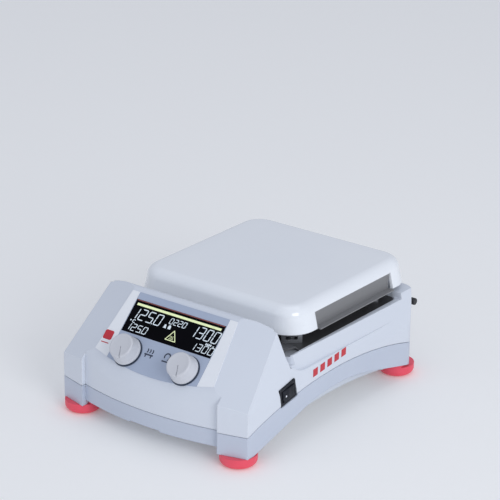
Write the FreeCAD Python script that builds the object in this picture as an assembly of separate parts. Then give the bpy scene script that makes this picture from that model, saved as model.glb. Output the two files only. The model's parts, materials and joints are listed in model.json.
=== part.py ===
"""Hot-plate magnetic stirrer: a square ceramic plate over a stirring motor, with a sloping console.

Millimetres. +X is the right-hand side seen from the front, +Y the back, +Z up. The origin is on the
bench, under the middle of the whole object's box. Every sub-part is written to parts/NODE.step.
"""
import FreeCAD, Part
import math
import os

from FreeCAD import Placement, Rotation, Vector

os.makedirs("parts", exist_ok=True)

# ---------------------------------------------------------------- driving dimensions
WALL = 3.0                 # moulded wall of both housings
HALF_WIDTH = 99.5          # side faces below the belt line
REAR_Y = 118.0             # rear face
REAR_CORNER_R = 18.0
WING_OUTER_Y = -133.0      # front face of each wing at its outer corner
WING_INNER_X = 73.0        # where the wing steps back to the bowed centre
WING_INNER_Y = -140.0
BOW_Y = -145.0             # foremost point of the bowed centre
BOW_R = 281.0
BELT_Z = 50.0              # the sides lean inwards above this height
SIDE_LEAN = 0.19           # inward lean, mm per mm of height
CONSOLE_ANGLE = 45.0       # slope of the control panel
PANEL_FOOT = (WING_OUTER_Y, 63.5)          # a point (y, z) of the panel plane
BOW_BLEND_R = 20.0         # rounding from the panel down into the bow
RIDGE = (-83.6, 112.9)     # sharp (y, z) corner above the panel, before its rounding
RIDGE_R = 4.6
BACK_LEAN = 0.287          # lean of the console's back wall
WING_CREASE_X = 64.7       # the wings fall away outside this line
WING_DROP = 0.36
WING_RISE = 0.934
DECK_Z = 76.0              # rim of the deck under the plate
DECK_FRONT_Y = -65.0       # front edge of the deck's rim, behind the console
DECK_CORNER_R = 12.0
DECK_BACK_Y = 97.0         # front of the raised rear bridge
RIM_INNER_X = 89.5         # inside of the deck rim, where the tray lies
BRIDGE_Z = 81.3
PART_LINE_END_Z = 29.4     # height of the parting line at both ends
PART_LINE_RISE = 20.0      # its rise at mid length
PART_GAP = 0.5
BASE_Z = 10.0              # underside of the base at the feet
BASE_FLAT = 8.0            # length of that flat, from each end
BASE_SHOULDER = (80.0, 28.0)   # distance from each end, and height, where the arch begins
BASE_CROWN_Z = 33.0
BOW_UNDER_Z = 14.3         # underside of the bowed centre
FLOOR = 2.5
PAN_ENDS = (-105.0, 88.5)  # front and rear of the bottom pan
PAN_Z = (12.0, 21.5)       # its underside at the ends and at mid length
PAN_T = 1.2

TRAY_T = 1.2
TRAY_Z = DECK_Z - 1.5
TRAY_HALF = 89.0
TRAY_RAMP = ((-48.5, 74.5), (-54.5, 79.6))   # (y, z) where the front ramp starts and ends
TRAY_LIP_Z = 82.4          # height of the tray's front edge

PLATE_SIDE = 178.0         # 7 inch plate
PLATE_Y = 34.0             # centre of the plate
PLATE_TOP = 109.5
PLATE_BOTTOM = 86.5
PLATE_CORNER_R = 25.0
PLATE_EDGE_R = 10.0
PLATE_DRAFT = 3.2          # how far the skirt spreads downwards
PLATE_THICK = 4.5
WINDOW_LENGTH = 114.0
WINDOW_TOP = 100.8

DISPLAY = (47.8, 23.0, 53.6)   # half width, lower and upper edge up the panel
OVERLAY_TOP = 60.0
OVERLAY_FOOT = -8.0
OVERLAY_SIDE = 1.4         # height up the panel of its lower corners
OVERLAY_T = 0.6
STRIP_INNER = 48.3
STRIP_TOP_X = 57.0
KNOB_X = 30.8
KNOB_V = 6.8               # height of the knob axes up the panel
KNOB_R = 13.0
KNOB_BASE = 1.8            # knob underside above the panel
KNOB_H = 12.2
SHAFT_R = 3.0
RUN_FIT = 0.06

FOOT_R = 16.0
FOOT_X = 84.5
FOOT_Y = (-125.6, 107.5)
MOTOR_Y = PLATE_Y
MOTOR_R = 29.0
MOTOR_Z = (37.0, 59.0)
ROD_X = 60.0
ROD_Y = 134.2
ROD_R = 6.5                # socket for a 12.7 mm support rod
ROD_Z = (33.5, 66.0)
CLAMP_Z = 59.0
CLAMP_R = 3.0
SWITCH = (-77.8, 49.6)     # centre (y, z) of the power switch
SWITCH_TILT = 10.0
INLET_X = -46.0
INLET_Z = 52.0


# ---------------------------------------------------------------- helpers
def box(x0, x1, y0, y1, z0, z1):
    return Part.makeBox(x1 - x0, y1 - y0, z1 - z0, Vector(x0, y0, z0))


def cyl(x, y, z0, z1, r):
    return Part.makeCylinder(r, z1 - z0, Vector(x, y, z0))


def tube(x, y, z0, z1, r_out, r_in):
    return cyl(x, y, z0, z1, r_out).cut(cyl(x, y, z0 - 1, z1 + 1, r_in))


def rod(start, direction, length, r):
    return Part.makeCylinder(r, length, Vector(*start), Vector(*direction))


def polygon_face(points):
    return Part.Face(Part.makePolygon([Vector(*p) for p in points] + [Vector(*points[0])]))


def slab_x(profile, half):
    """A (y, z) outline made solid across the width."""
    return polygon_face([(-half, y, z) for y, z in profile]).extrude(Vector(2 * half, 0, 0))


def round_box(x0, x1, y0, y1, z0, z1, r):
    """A box with rounded upright edges."""
    solid = box(x0, x1, y0, y1, z0, z1)
    upright = [e for e in solid.Edges if abs(e.tangentAt(e.FirstParameter).z) > 0.99]
    return solid.makeFillet(r, upright)


def fuse(shapes):
    whole = shapes[0]
    for shape in shapes[1:]:
        whole = whole.fuse(shape)
    return whole.removeSplitter()


def mirror_x(shape):
    return shape.mirror(Vector(0, 0, 0), Vector(1, 0, 0))


def both_sides(shape):
    return [shape, mirror_x(shape)]


def on_panel(shape):
    """Places a shape drawn with X across, Y up the panel and Z out of it."""
    placed = shape.copy()
    turn = Rotation(Vector(1, 0, 0), CONSOLE_ANGLE)
    placed.Placement = Placement(Vector(0, *PANEL_FOOT), turn).multiply(placed.Placement)
    return placed


def on_switch(shape):
    """Places a shape drawn with X out of the side, Y along the rocker and Z across it."""
    placed = shape.copy()
    turn = Rotation(Vector(1, 0, 0), SWITCH_TILT)
    placed.Placement = Placement(Vector(0, *SWITCH), turn).multiply(placed.Placement)
    return placed


def edges_near(solid, test):
    return [e for e in solid.Edges if test(e.CenterOfMass, e)]


def save(node, shapes):
    """Writes one node; a list of separate pieces becomes one file of several solids."""
    pieces = shapes if isinstance(shapes, list) else [shapes]
    solids = [s for piece in pieces for s in piece.Solids]
    for solid in solids:
        if not solid.isValid():
            print("invalid solid in", node)
    shape = solids[0] if len(solids) == 1 else Part.makeCompound(solids)
    shape.exportStep("parts/" + node + ".step")
    b = shape.BoundBox
    print("%-24s %2d  %8.0f mm3  x %.1f..%.1f  y %.1f..%.1f  z %.1f..%.1f" % (
        node, len(solids), shape.Volume, b.XMin, b.XMax, b.YMin, b.YMax, b.ZMin, b.ZMax))


# ---------------------------------------------------------------- housing surfaces
def bow_y(x, inset=0.0):
    """Front of the bowed centre at a distance x from the middle."""
    radius = BOW_R - inset
    return BOW_Y + BOW_R - math.sqrt(radius * radius - x * x)


def front_arc(half, inset):
    """The bowed front edge from +half to -half."""
    ends = [Vector(s * half, bow_y(half, inset), 0) for s in (1, -1)]
    return Part.Arc(ends[0], Vector(0, BOW_Y + inset, 0), ends[1]).toShape()


def plan_wire(inset):
    """Outline of the housing seen from above, moved inwards by the inset."""
    side = HALF_WIDTH - inset
    rear = REAR_Y - inset
    r = REAR_CORNER_R - inset
    step_x = WING_INNER_X + inset * 0.2
    wing = [Vector(step_x, bow_y(step_x, inset), 0),
            Vector(step_x, WING_INNER_Y + inset * 1.3, 0),
            Vector(side, WING_OUTER_Y + inset * 0.8, 0)]
    left = [Vector(-p.x, p.y, 0) for p in wing]
    edges = [front_arc(step_x, inset)]
    edges += [Part.makeLine(wing[i], wing[i + 1]) for i in (0, 1)]
    edges += [Part.makeLine(left[i], left[i + 1]) for i in (0, 1)]
    diagonal = r * math.sqrt(0.5)
    for s, corner in ((1, wing[2]), (-1, left[2])):
        lower = Vector(s * side, rear - r, 0)
        upper = Vector(s * (side - r), rear, 0)
        middle = Vector(s * (side - r + diagonal), rear - r + diagonal, 0)
        edges.append(Part.makeLine(corner, lower))
        edges.append(Part.Arc(lower, middle, upper).toShape())
    edges.append(Part.makeLine(Vector(side - r, rear, 0), Vector(r - side, rear, 0)))
    return Part.Wire(Part.__sortEdges__(edges))


def plan_solid(inset, z0, z1):
    solid = Part.Face(plan_wire(inset)).extrude(Vector(0, 0, z1 - z0))
    return solid.translated(Vector(0, 0, z0))


def back_wall_y(z):
    return RIDGE[0] + (RIDGE[1] - z) * BACK_LEAN


def side_profile(inset, wrap):
    """Side view of the console, the deck and the rear bridge, as one slab across the width."""
    drop = inset * math.sqrt(2)
    foot_z = BOW_Y - wrap - PANEL_FOOT[0] + PANEL_FOOT[1] - drop
    ridge_z = RIDGE[1] - 1.9 * inset
    ridge_y = ridge_z + drop + PANEL_FOOT[0] - PANEL_FOOT[1]
    deck = DECK_Z - inset
    points = [(BOW_Y - wrap, 0.0), (BOW_Y - wrap, foot_z), (ridge_y, ridge_z),
              (back_wall_y(deck) - inset, deck), (DECK_BACK_Y + inset, deck),
              (DECK_BACK_Y + inset, BRIDGE_Z - inset), (REAR_Y + wrap, BRIDGE_Z - inset),
              (REAR_Y + wrap, 0.0)]
    slab = slab_x(points, HALF_WIDTH + wrap)
    ridge = edges_near(slab, lambda c, e: abs(c.y - ridge_y) < 0.5 and abs(c.z - ridge_z) < 0.5)
    return slab.makeFillet(RIDGE_R, ridge)


def above_plane(point, x_slope, y_slope):
    """Everything above the plane z = point.z + x_slope (x - point.x) + y_slope (y - point.y)."""
    reach = 300.0
    corners = []
    for dx, dy in ((-1, -1), (1, -1), (1, 1), (-1, 1)):
        x, y = dx * reach, dy * reach
        corners.append((x, y, point[2] + x_slope * (x - point[0]) + y_slope * (y - point[1])))
    return polygon_face(corners).extrude(Vector(0, 0, 2 * reach))


def outside_sides(inset):
    """Two wedges outside the leaning side faces, above the belt line."""
    top = 140.0
    belt = HALF_WIDTH - inset
    outline = [(belt, BELT_Z), (belt + 40, BELT_Z), (belt + 40, top),
               (belt - SIDE_LEAN * (top - BELT_Z), top)]
    face = polygon_face([(x, -300, z) for x, z in outline])
    return both_sides(face.extrude(Vector(0, 600, 0)))


def housing_form(inset):
    """The whole outer form, base and housing together, moved inwards by the inset."""
    centre_half = WING_INNER_X + 7
    centre_edges = [front_arc(centre_half, inset)]
    corners = [Vector(-centre_half, bow_y(centre_half, inset), 0),
               Vector(-centre_half, REAR_Y - inset, 0), Vector(centre_half, REAR_Y - inset, 0),
               Vector(centre_half, bow_y(centre_half, inset), 0)]
    centre_edges += [Part.makeLine(corners[i], corners[i + 1]) for i in range(3)]
    centre = Part.Face(Part.Wire(Part.__sortEdges__(centre_edges))).extrude(Vector(0, 0, 140))
    profile = side_profile(inset, 20.0)
    centre = centre.common(profile)
    blend = edges_near(centre, lambda c, e: c.y < WING_OUTER_Y and c.z > 40
                       and e.Length > centre_half)
    centre = centre.makeFillet(BOW_BLEND_R - inset, blend)
    centre = centre.common(box(-WING_INNER_X - 1, WING_INNER_X + 1, -200, 200, -1, 140))
    whole = plan_solid(inset, 0, 140)
    flanks = whole.cut(box(-WING_INNER_X - inset * 0.2, WING_INNER_X + inset * 0.2,
                           -200, 200, -1, 141)).common(profile)
    form = fuse([centre, flanks])
    drop = inset * 1.45
    for s in (1, -1):
        point = (s * WING_CREASE_X, PANEL_FOOT[0], PANEL_FOOT[1] - drop)
        form = form.cut(above_plane(point, -s * WING_DROP, WING_RISE))
    for wedge in outside_sides(inset):
        form = form.cut(wedge)
    shift = Vector(-inset, -inset, -inset)
    for cut in both_sides(scoop_cut().translated(shift)) + [deck_corner_cut(inset)]:
        form = form.cut(cut)
    return form


def deck_corner_cut(inset):
    """The valley round the deck's two rounded front corners, behind the console."""
    side = HALF_WIDTH - SIDE_LEAN * (DECK_Z - BELT_Z) + 0.4 - inset
    front = DECK_FRONT_Y + inset
    floor_z = 68.0 - inset
    valley = box(-110, 110, back_wall_y(DECK_Z) - inset, front + DECK_CORNER_R + 6, floor_z, 90)
    deck = round_box(-side, side, front, 200, 0, 120, DECK_CORNER_R - inset)
    middle = box(-62 - inset, 62 + inset, -200, 200, 0, 120)
    wall_lean = above_plane((0, back_wall_y(DECK_Z) - inset, DECK_Z), 0.0, -1 / BACK_LEAN)
    return valley.cut(deck).cut(middle).common(wall_lean)


def arch_slab(end_z, rise, half, low):
    """Everything under a shallow arch that spans the length of the sides."""
    mid_y = (WING_OUTER_Y + REAR_Y) / 2
    start = Vector(-half, WING_OUTER_Y, end_z)
    crown = Vector(-half, mid_y, end_z + rise)
    end = Vector(-half, REAR_Y, end_z)
    reach = 60.0
    corners = [end, Vector(-half, REAR_Y + reach, end_z), Vector(-half, REAR_Y + reach, low),
               Vector(-half, WING_OUTER_Y - reach, low), Vector(-half, WING_OUTER_Y - reach, end_z),
               start]
    edges = [Part.Arc(start, crown, end).toShape()]
    edges += [Part.makeLine(corners[i], corners[i + 1]) for i in range(5)]
    return Part.Face(Part.Wire(Part.__sortEdges__(edges))).extrude(Vector(2 * half, 0, 0))


def base_arch_cut():
    """The space under the base: flat at the feet, rising to a long arch between them."""
    half = 120.0
    shoulder_y, shoulder_z = BASE_SHOULDER
    front = [(WING_OUTER_Y - 40, BASE_Z), (WING_OUTER_Y + BASE_FLAT, BASE_Z),
             (WING_OUTER_Y + shoulder_y, shoulder_z)]
    rear = [(REAR_Y - shoulder_y, shoulder_z), (REAR_Y - BASE_FLAT, BASE_Z), (REAR_Y + 40, BASE_Z)]
    crown = Vector(-half, (WING_OUTER_Y + REAR_Y) / 2, BASE_CROWN_Z)
    points = [Vector(-half, y, z) for y, z in front + rear]
    low = [Vector(-half, REAR_Y + 40, -5), Vector(-half, WING_OUTER_Y - 40, -5)]
    edges = [Part.makeLine(points[i], points[i + 1]) for i in (0, 1, 3, 4)]
    edges.append(Part.Arc(points[2], crown, points[3]).toShape())
    loop = [points[5], low[0], low[1], points[0]]
    edges += [Part.makeLine(loop[i], loop[i + 1]) for i in range(3)]
    return Part.Face(Part.Wire(Part.__sortEdges__(edges))).extrude(Vector(2 * half, 0, 0))


# ---------------------------------------------------------------- shared openings
def panel_cutouts():
    """Holes through the sloping panel for the display and the knob shafts."""
    half, low, high = DISPLAY
    shapes = [box(-half + 2, half - 2, low + 2, high - 2, -20, 5)]
    shapes += [rod((s * KNOB_X, KNOB_V, -20), (0, 0, 1), 25, 4.6) for s in (1, -1)]
    return [on_panel(s) for s in shapes]


def switch_cutout(grow):
    return on_switch(box(70, 110, -11.2 - grow, 11.2 + grow, -8.2 - grow, 8.2 + grow))


def scoop_cut():
    """The hollow flank under the deck rim: deep behind the console, fading out to the rear."""
    front, rear, low, top = -79.0, DECK_BACK_Y, 61.5, 110.0
    r = 26.0
    centre = (back_wall_y(low + r) + r, low + r)
    lean = math.atan(BACK_LEAN)
    tangent = (centre[0] - r * math.cos(lean), centre[1] - r * math.sin(lean))
    turn = (lean + math.pi / 2) / 2
    middle = (centre[0] - r * math.cos(turn), centre[1] - r * math.sin(turn))
    x = 80.0
    p_top = Vector(x, back_wall_y(top) + tangent[0] - back_wall_y(tangent[1]), top)
    p_tan = Vector(x, *tangent)
    p_mid = Vector(x, *middle)
    p_low = Vector(x, centre[0], low)
    p_rear = [Vector(x, rear - 10, low), Vector(x, rear - 2.9, low + 2.9), Vector(x, rear, low + 10)]
    p_end = Vector(x, rear, top)
    edges = [Part.makeLine(p_top, p_tan), Part.Arc(p_tan, p_mid, p_low).toShape(),
             Part.makeLine(p_low, p_rear[0]), Part.Arc(*p_rear).toShape(),
             Part.makeLine(p_rear[2], p_end), Part.makeLine(p_end, p_top)]
    prism = Part.Face(Part.Wire(Part.__sortEdges__(edges))).extrude(Vector(40, 0, 0))
    depth = 3.6
    belt = HALF_WIDTH - SIDE_LEAN * (low - BELT_Z)
    lines = []
    for y, sink in ((front - 40, depth * 1.2), (rear + 10, -0.6)):
        lines.append([(belt - sink + SIDE_LEAN * 20, y, low - 20),
                      (belt - sink - SIDE_LEAN * 60, y, low + 60)])
    inner = Part.makeRuledSurface(Part.makeLine(Vector(*lines[0][0]), Vector(*lines[0][1])),
                                  Part.makeLine(Vector(*lines[1][0]), Vector(*lines[1][1])))
    return prism.common(inner.extrude(Vector(60, 0, 0)))


# ---------------------------------------------------------------- housings
def upper_housing():
    outer = housing_form(0.0)
    shell = outer.cut(housing_form(WALL))
    shell = shell.cut(arch_slab(PART_LINE_END_Z, PART_LINE_RISE, 150.0, -20.0))
    pocket = round_box(-RIM_INNER_X, RIM_INNER_X, DECK_FRONT_Y - 30, DECK_BACK_Y + 0.4,
                       DECK_Z - 1.5, DECK_Z + 9, 8)
    pocket = pocket.cut(box(-100, 100, -120, back_wall_y(DECK_Z) + 0.2, 0, 120))
    opening = round_box(-66, 66, -50, 88, DECK_Z - 10, DECK_Z + 5, 10)
    shell = shell.cut(pocket).cut(opening)
    for cut in panel_cutouts():
        shell = shell.cut(cut)
    for cut in rear_cutouts() + bracket_holes(60, 80):
        shell = shell.cut(cut)
    columns = [cyl(x, y, 34.0, 140.0, 4.5).cut(cyl(x, y, 30.0, 54.0, 1.6)) for x, y in screw_places()]
    columns.append(rod_holder_pads())
    room = housing_form(WALL - 0.3)
    shell = fuse([shell] + [c.common(room) for c in columns])
    return keep_largest(shell.cut(switch_cutout(0.2)).cut(motor_clearance()))


def keep_largest(shape):
    return max(shape.Solids, key=lambda s: s.Volume)


def screw_places():
    """Places of the screw columns that join the housing to the base."""
    return [(s * x, y) for s in (1, -1) for x, y in ((62, -126), (88, -100), (88, 76), (22, 98))]


def rod_holder_pads():
    """Backing pad inside the rear wall, behind the rod holder's screws."""
    pad = box(ROD_X - 14, ROD_X + 14, REAR_Y - WALL - 3, REAR_Y - WALL + 0.5, 33, 64)
    for x, z in rod_screw_places():
        pad = pad.cut(rod((x, REAR_Y - 10, z), (0, 1, 0), 12, 1.65))
    return pad


def motor_clearance():
    return cyl(0, MOTOR_Y, 30, 90, 47)


def rear_cutouts():
    """Holes in the rear wall for the inlet, the serial port, the probe socket and the screws."""
    y0, y1 = REAR_Y - 20, REAR_Y + 5
    cuts = [box(INLET_X - 14, INLET_X + 14, y0, y1, INLET_Z - 17, INLET_Z + 17),
            box(-12.5, 12.5, y0, y1, INLET_Z - 5.2, INLET_Z + 5.2),
             rod((32, y0, INLET_Z), (0, 1, 0), y1 - y0, 5.1)]
    cuts += [rod((x, y0, z), (0, 1, 0), y1 - y0, 1.65) for x, z in rod_screw_places()]
    return cuts


def under_base(grow):
    """The space under the base and under its bowed centre, grown by the floor's thickness."""
    bow = box(-WING_INNER_X - grow, WING_INNER_X + grow, BOW_Y - 15, BOW_Y + 16 + grow,
              -5, BOW_UNDER_Z + grow)
    return fuse([base_arch_cut().translated(Vector(0, 0, grow)), bow])


def base_shell():
    """Lower housing: a wall with a floor at both ends and a ledge along the sides."""
    below = under_base(0.0)
    ring = plan_solid(0, 0, 60).cut(plan_solid(WALL, -1, 61)).cut(below)
    ring = ring.common(arch_slab(PART_LINE_END_Z - PART_GAP, PART_LINE_RISE, 150.0, -20.0))
    ledge = plan_solid(0, 0, 50).cut(plan_solid(12.0, -1, 60).common(
        box(-120, 120, PAN_ENDS[0] - 0.5, PAN_ENDS[1] + 0.5, -1, 60)))
    ledge = ledge.common(under_base(FLOOR)).cut(below)
    shell = fuse([ring, ledge])
    shell = shell.cut(box(-16, 16, BOW_Y - 5, BOW_Y + 8, 0, BOW_UNDER_Z + 1.2))
    feet_at = [(x, y) for x in (FOOT_X, -FOOT_X) for y in FOOT_Y]
    wells = plan_solid(WALL, 0, 40)
    for x, y in feet_at:
        shell = shell.cut(cyl(x, y, 0, 18.5, FOOT_R + 0.3).common(wells))
    pads = [cyl(x, y, 18.5, 22, FOOT_R + 2.5) for x, y in feet_at]
    pads += [tube(x, y, 12.0, 33.8, 5.5, 2.2) for x, y in screw_places()]
    inside = plan_solid(WALL - 0.4, 0, 60).cut(below)
    shell = fuse([shell] + [p.common(inside) for p in pads])
    for x, y in feet_at:
        shell = shell.cut(cyl(x, y, 5, 30, 1.7))
    for x, y in screw_places():
        shell = shell.cut(cyl(x, y, 0, 40, 2.2)).cut(cyl(x, y, 0, 16.45, 3.9))
    return keep_largest(shell.cut(switch_cutout(0.4)))


def pan_face(grow):
    """Side view of the pan's outside, or of its inside when grown by the sheet's thickness."""
    x = -90.0 + grow
    front, rear = PAN_ENDS[0] + grow, PAN_ENDS[1] - grow
    a = Vector(x, front, PAN_Z[0] + grow)
    b = Vector(x, sum(PAN_ENDS) / 2, PAN_Z[1] + grow)
    c = Vector(x, rear, PAN_Z[0] + grow)
    top = [Vector(x, rear, 34), Vector(x, front, 34)]
    edges = [Part.Arc(a, b, c).toShape(), Part.makeLine(c, top[0]),
             Part.makeLine(top[0], top[1]), Part.makeLine(top[1], a)]
    return Part.Face(Part.Wire(Part.__sortEdges__(edges))).extrude(Vector(-2 * x, 0, 0))


def pan_top(y):
    """Height of the pan's upper surface at y."""
    half = (PAN_ENDS[1] - PAN_ENDS[0]) / 2
    rise = PAN_Z[1] - PAN_Z[0]
    radius = (half * half + rise * rise) / (2 * rise)
    offset = y - sum(PAN_ENDS) / 2
    return PAN_Z[1] + PAN_T - radius + math.sqrt(radius * radius - offset * offset)


def bottom_pan():
    """Curved sheet-metal pan that closes the base between its two floors."""
    pan = pan_face(0.0).cut(pan_face(PAN_T))
    pan = pan.common(fuse([plan_solid(12.6, 0, 26.0), base_arch_cut().translated(Vector(0, 0, -0.15))]))
    for y in (-92, 44):
        for x in range(-60, 61, 10):
            pan = pan.cut(box(x - 1.5, x + 1.5, y, y + 26, 0, 40))
    for x, y in screw_places():
        pan = pan.cut(cyl(x, y, 0, 40, 6.0))
    return keep_largest(pan)


# ---------------------------------------------------------------- feet and fasteners
def feet():
    """Moulded rubber feet: a bowl-shaped pad whose upper part fits up inside the base."""
    solids = []
    room = plan_solid(WALL + 0.3, 0, 40)
    for x in (FOOT_X, -FOOT_X):
        for y in FOOT_Y:
            pad = cyl(x, y, 0, BASE_Z - 0.1, FOOT_R)
            pad = pad.makeFillet(5.5, [e for e in pad.Edges if e.BoundBox.ZMax < 0.01])
            plug = cyl(x, y, BASE_Z - 2, 18.3, FOOT_R).common(room)
            foot = fuse([pad, plug]).cut(cyl(x, y, -1, 4.0, 4.2)).cut(cyl(x, y, -1, 20, 1.7))
            solids.append(foot)
    return solids


def screw(x, y, z0, length, head_r, r):
    """A pan-head screw standing upwards from its head at z0, with a cross recess."""
    head = cyl(x, y, z0, z0 + 2.2, head_r)
    head = head.makeFillet(0.7, [e for e in head.Edges if e.BoundBox.ZMax < z0 + 0.01])
    body = head.fuse(cyl(x, y, z0 + 2.2, z0 + 2.2 + length, r))
    for dx, dy in ((2.0, 0.5), (0.5, 2.0)):
        body = body.cut(box(x - dx, x + dx, y - dy, y + dy, z0 - 0.1, z0 + 1.1))
    return body


def foot_screws():
    return [screw(x, y, 1.8, 21.0, 3.6, 1.6) for x in (FOOT_X, -FOOT_X) for y in FOOT_Y]


def housing_screws():
    return [screw(x, y, 14.2, 34.0, 3.4, 1.5) for x, y in screw_places()]


# ---------------------------------------------------------------- plate and heater
def plate_form(inset, top, bottom):
    """The plate's outer form: a soft-edged square that spreads a little downwards."""
    low = PLATE_SIDE / 2 - inset
    high = low - PLATE_DRAFT
    wires = []
    for half, z in ((low, bottom), (high, top)):
        r = PLATE_CORNER_R - inset - (low - half) * 0.5
        wires.append(round_wire(half, r, z))
    form = Part.makeLoft(wires, True, True)
    rim = [e for e in form.Edges if e.BoundBox.ZMin > top - 0.01]
    return form.makeFillet(max(PLATE_EDGE_R - inset, 3.0), rim)


def round_wire(half, r, z):
    """A rounded square about the plate's centre."""
    square = round_box(-half, half, PLATE_Y - half, PLATE_Y + half, z, z + 1, r)
    face = [f for f in square.Faces if f.BoundBox.ZMax < z + 0.01][0]
    return face.OuterWire


def top_plate():
    plate = plate_form(0.0, PLATE_TOP, PLATE_BOTTOM)
    plate = plate.cut(plate_form(3.2, PLATE_TOP - PLATE_THICK, PLATE_BOTTOM - 2.0))
    half = WINDOW_LENGTH / 2
    low, high = half - 1.0, half
    window = [(-120, PLATE_Y - high, WINDOW_TOP), (-120, PLATE_Y + high, WINDOW_TOP),
              (-120, PLATE_Y + low, PLATE_BOTTOM - 5), (-120, PLATE_Y - low, PLATE_BOTTOM - 5)]
    cutter = polygon_face(window).extrude(Vector(240, 0, 0)).cut(
        box(-79, 79, -200, 200, 0, 200))
    return plate.cut(cutter)


def heater_element():
    """Foil heater: one flat folded track under the plate."""
    solids = []
    z0, z1 = PLATE_TOP - PLATE_THICK - 1.3, PLATE_TOP - PLATE_THICK
    bars = 9
    pitch, width, half = 15.0, 11.0, 66.0
    x_first = -(bars - 1) * pitch / 2
    for i in range(bars):
        x = x_first + i * pitch
        solids.append(box(x - width / 2, x + width / 2, PLATE_Y - half, PLATE_Y + half, z0, z1))
        if i < bars - 1:
            y = PLATE_Y + half - width if i % 2 == 0 else PLATE_Y - half
            solids.append(box(x, x + pitch, y, y + width, z0, z1))
    return fuse(solids)


def heater_insulation():
    z1 = PLATE_TOP - PLATE_THICK - 1.5
    pad = round_box(-76, 76, PLATE_Y - 76, PLATE_Y + 76, z1 - 8.5, z1, 12)
    pad = pad.cut(cyl(0, PLATE_Y, 0, 200, 3.2)).cut(cyl(30, PLATE_Y + 30, 0, 200, 5.2))
    return pad.cut(lead_holes(80, 110))


def heat_shield():
    """Steel pan under the insulation, with flanks that show through the plate's windows."""
    top, t = 94.8, 0.8
    flank_x, lip_x, lip_z = 84.4, 91.0, 85.6
    half = WINDOW_LENGTH / 2 - 1.5
    sheet = round_box(-flank_x + t, flank_x - t, PLATE_Y - 80, PLATE_Y + 80, top - t, top, 14)
    pieces = [sheet]
    for s in (1, -1):
        x0, x1 = sorted((s * (flank_x - t), s * flank_x))
        pieces.append(box(x0, x1, PLATE_Y - half, PLATE_Y + half, lip_z, WINDOW_TOP - 0.1))
        x0, x1 = sorted((s * (flank_x - t), s * lip_x))
        pieces.append(box(x0, x1, PLATE_Y - half, PLATE_Y + half, lip_z, lip_z + t))
        x0, x1 = sorted((s * (flank_x - 8), s * (flank_x - t / 2)))
        pieces.append(box(x0, x1, PLATE_Y - half, PLATE_Y + half, top - t, top))
    shield = fuse(pieces)
    for hole in bracket_holes(80, 100):
        shield = shield.cut(hole)
    for x, y in ((0, PLATE_Y), (30, PLATE_Y + 30)):
        shield = shield.cut(cyl(x, y, 80, 100, 6.0))
    return shield.cut(lead_holes(80, 100))


def bracket_places():
    """Centres that the standoffs point away from, and the direction each one faces."""
    return [(sx * 64.0, y, sx, sy) for sx in (1, -1) for y, sy in ((-30.0, -1), (74.0, 1))]


def faced(shape, place):
    """Places a shape drawn with X pointing out to the plate's corner."""
    x, y, sx, sy = place
    turned = shape.copy()
    angle = math.degrees(math.atan2(sy, sx))
    turned.Placement = Placement(Vector(x, y, 0), Rotation(Vector(0, 0, 1), angle))
    return turned


def bracket_holes(z0, z1):
    return [faced(cyl(10, 0, z0, z1, 2.0), place) for place in bracket_places()]


def plate_brackets():
    """Four bent standoffs that carry the plate above the deck, one towards each corner."""
    foot_z, head_z, t = TRAY_Z + TRAY_T + 0.05, 93.9, 1.5
    upright = box(14.5, 16, -9, 9, foot_z, head_z).cut(box(10, 20, -5, 5, foot_z + 3, foot_z + 6))
    foot = box(4, 16, -9, 9, foot_z, foot_z + t)
    head = box(4, 16, -9, 9, head_z - t, head_z)
    bent = fuse([upright, foot, head]).cut(cyl(10, 0, 60, 100, 2.0))
    return [faced(bent, place) for place in bracket_places()]


def plate_screws():
    """Short screws down through each standoff's foot into the deck."""
    z = TRAY_Z + TRAY_T + 1.55
    one = fuse([cyl(10, 0, z, z + 2.2, 3.4), cyl(10, 0, z - 7, z + 0.1, 1.9)])
    return [faced(one, place) for place in bracket_places()]


# ---------------------------------------------------------------- deck
def deck_tray():
    """Steel sheet over the deck; its front edge ramps up against the console."""
    y_rear = DECK_BACK_Y - 0.3
    y_front = back_wall_y(TRAY_LIP_Z) + 0.8
    line = [(y_rear, TRAY_Z)] + list(TRAY_RAMP) + [(y_front, TRAY_LIP_Z)]
    profile = line + [(y, z + TRAY_T) for y, z in reversed(line)]
    sheet = slab_x(profile, TRAY_HALF)
    tray = sheet.common(round_box(-TRAY_HALF, TRAY_HALF, y_front - 12, y_rear, 60, 100, 8))
    tray = tray.cut(cyl(0, MOTOR_Y, 60, 100, 39))
    for hole in bracket_holes(60, 90):
        tray = tray.cut(hole)
    return tray.cut(lead_holes(60, 90))


def magnet_cover():
    """Black enamelled pan over the turning magnets, between the deck and the heater."""
    z0, z1, t = TRAY_Z + TRAY_T + 0.05, 85.2, 1.0
    outer = round_box(-73, 73, -21, 69, z0, z1, 8)
    inner = round_box(-73 + t, 73 - t, -21 + t, 69 - t, z0 - 1, z1 - t, 7)
    return outer.cut(inner)


def thermal_parts():
    """The plate's temperature probe, and the cut-out beside it, both pressed against the plate."""
    z1 = PLATE_TOP - PLATE_THICK - 1.5
    probe = fuse([cyl(0, PLATE_Y, 87.0, z1, 2.6), cyl(0, PLATE_Y, 86.4, 88.4, 5.0)])
    cutout = fuse([cyl(30, PLATE_Y + 30, 88.0, z1, 4.8), box(24, 36, PLATE_Y + 27, PLATE_Y + 33, 86.6, 88.2)])
    return probe, cutout


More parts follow.
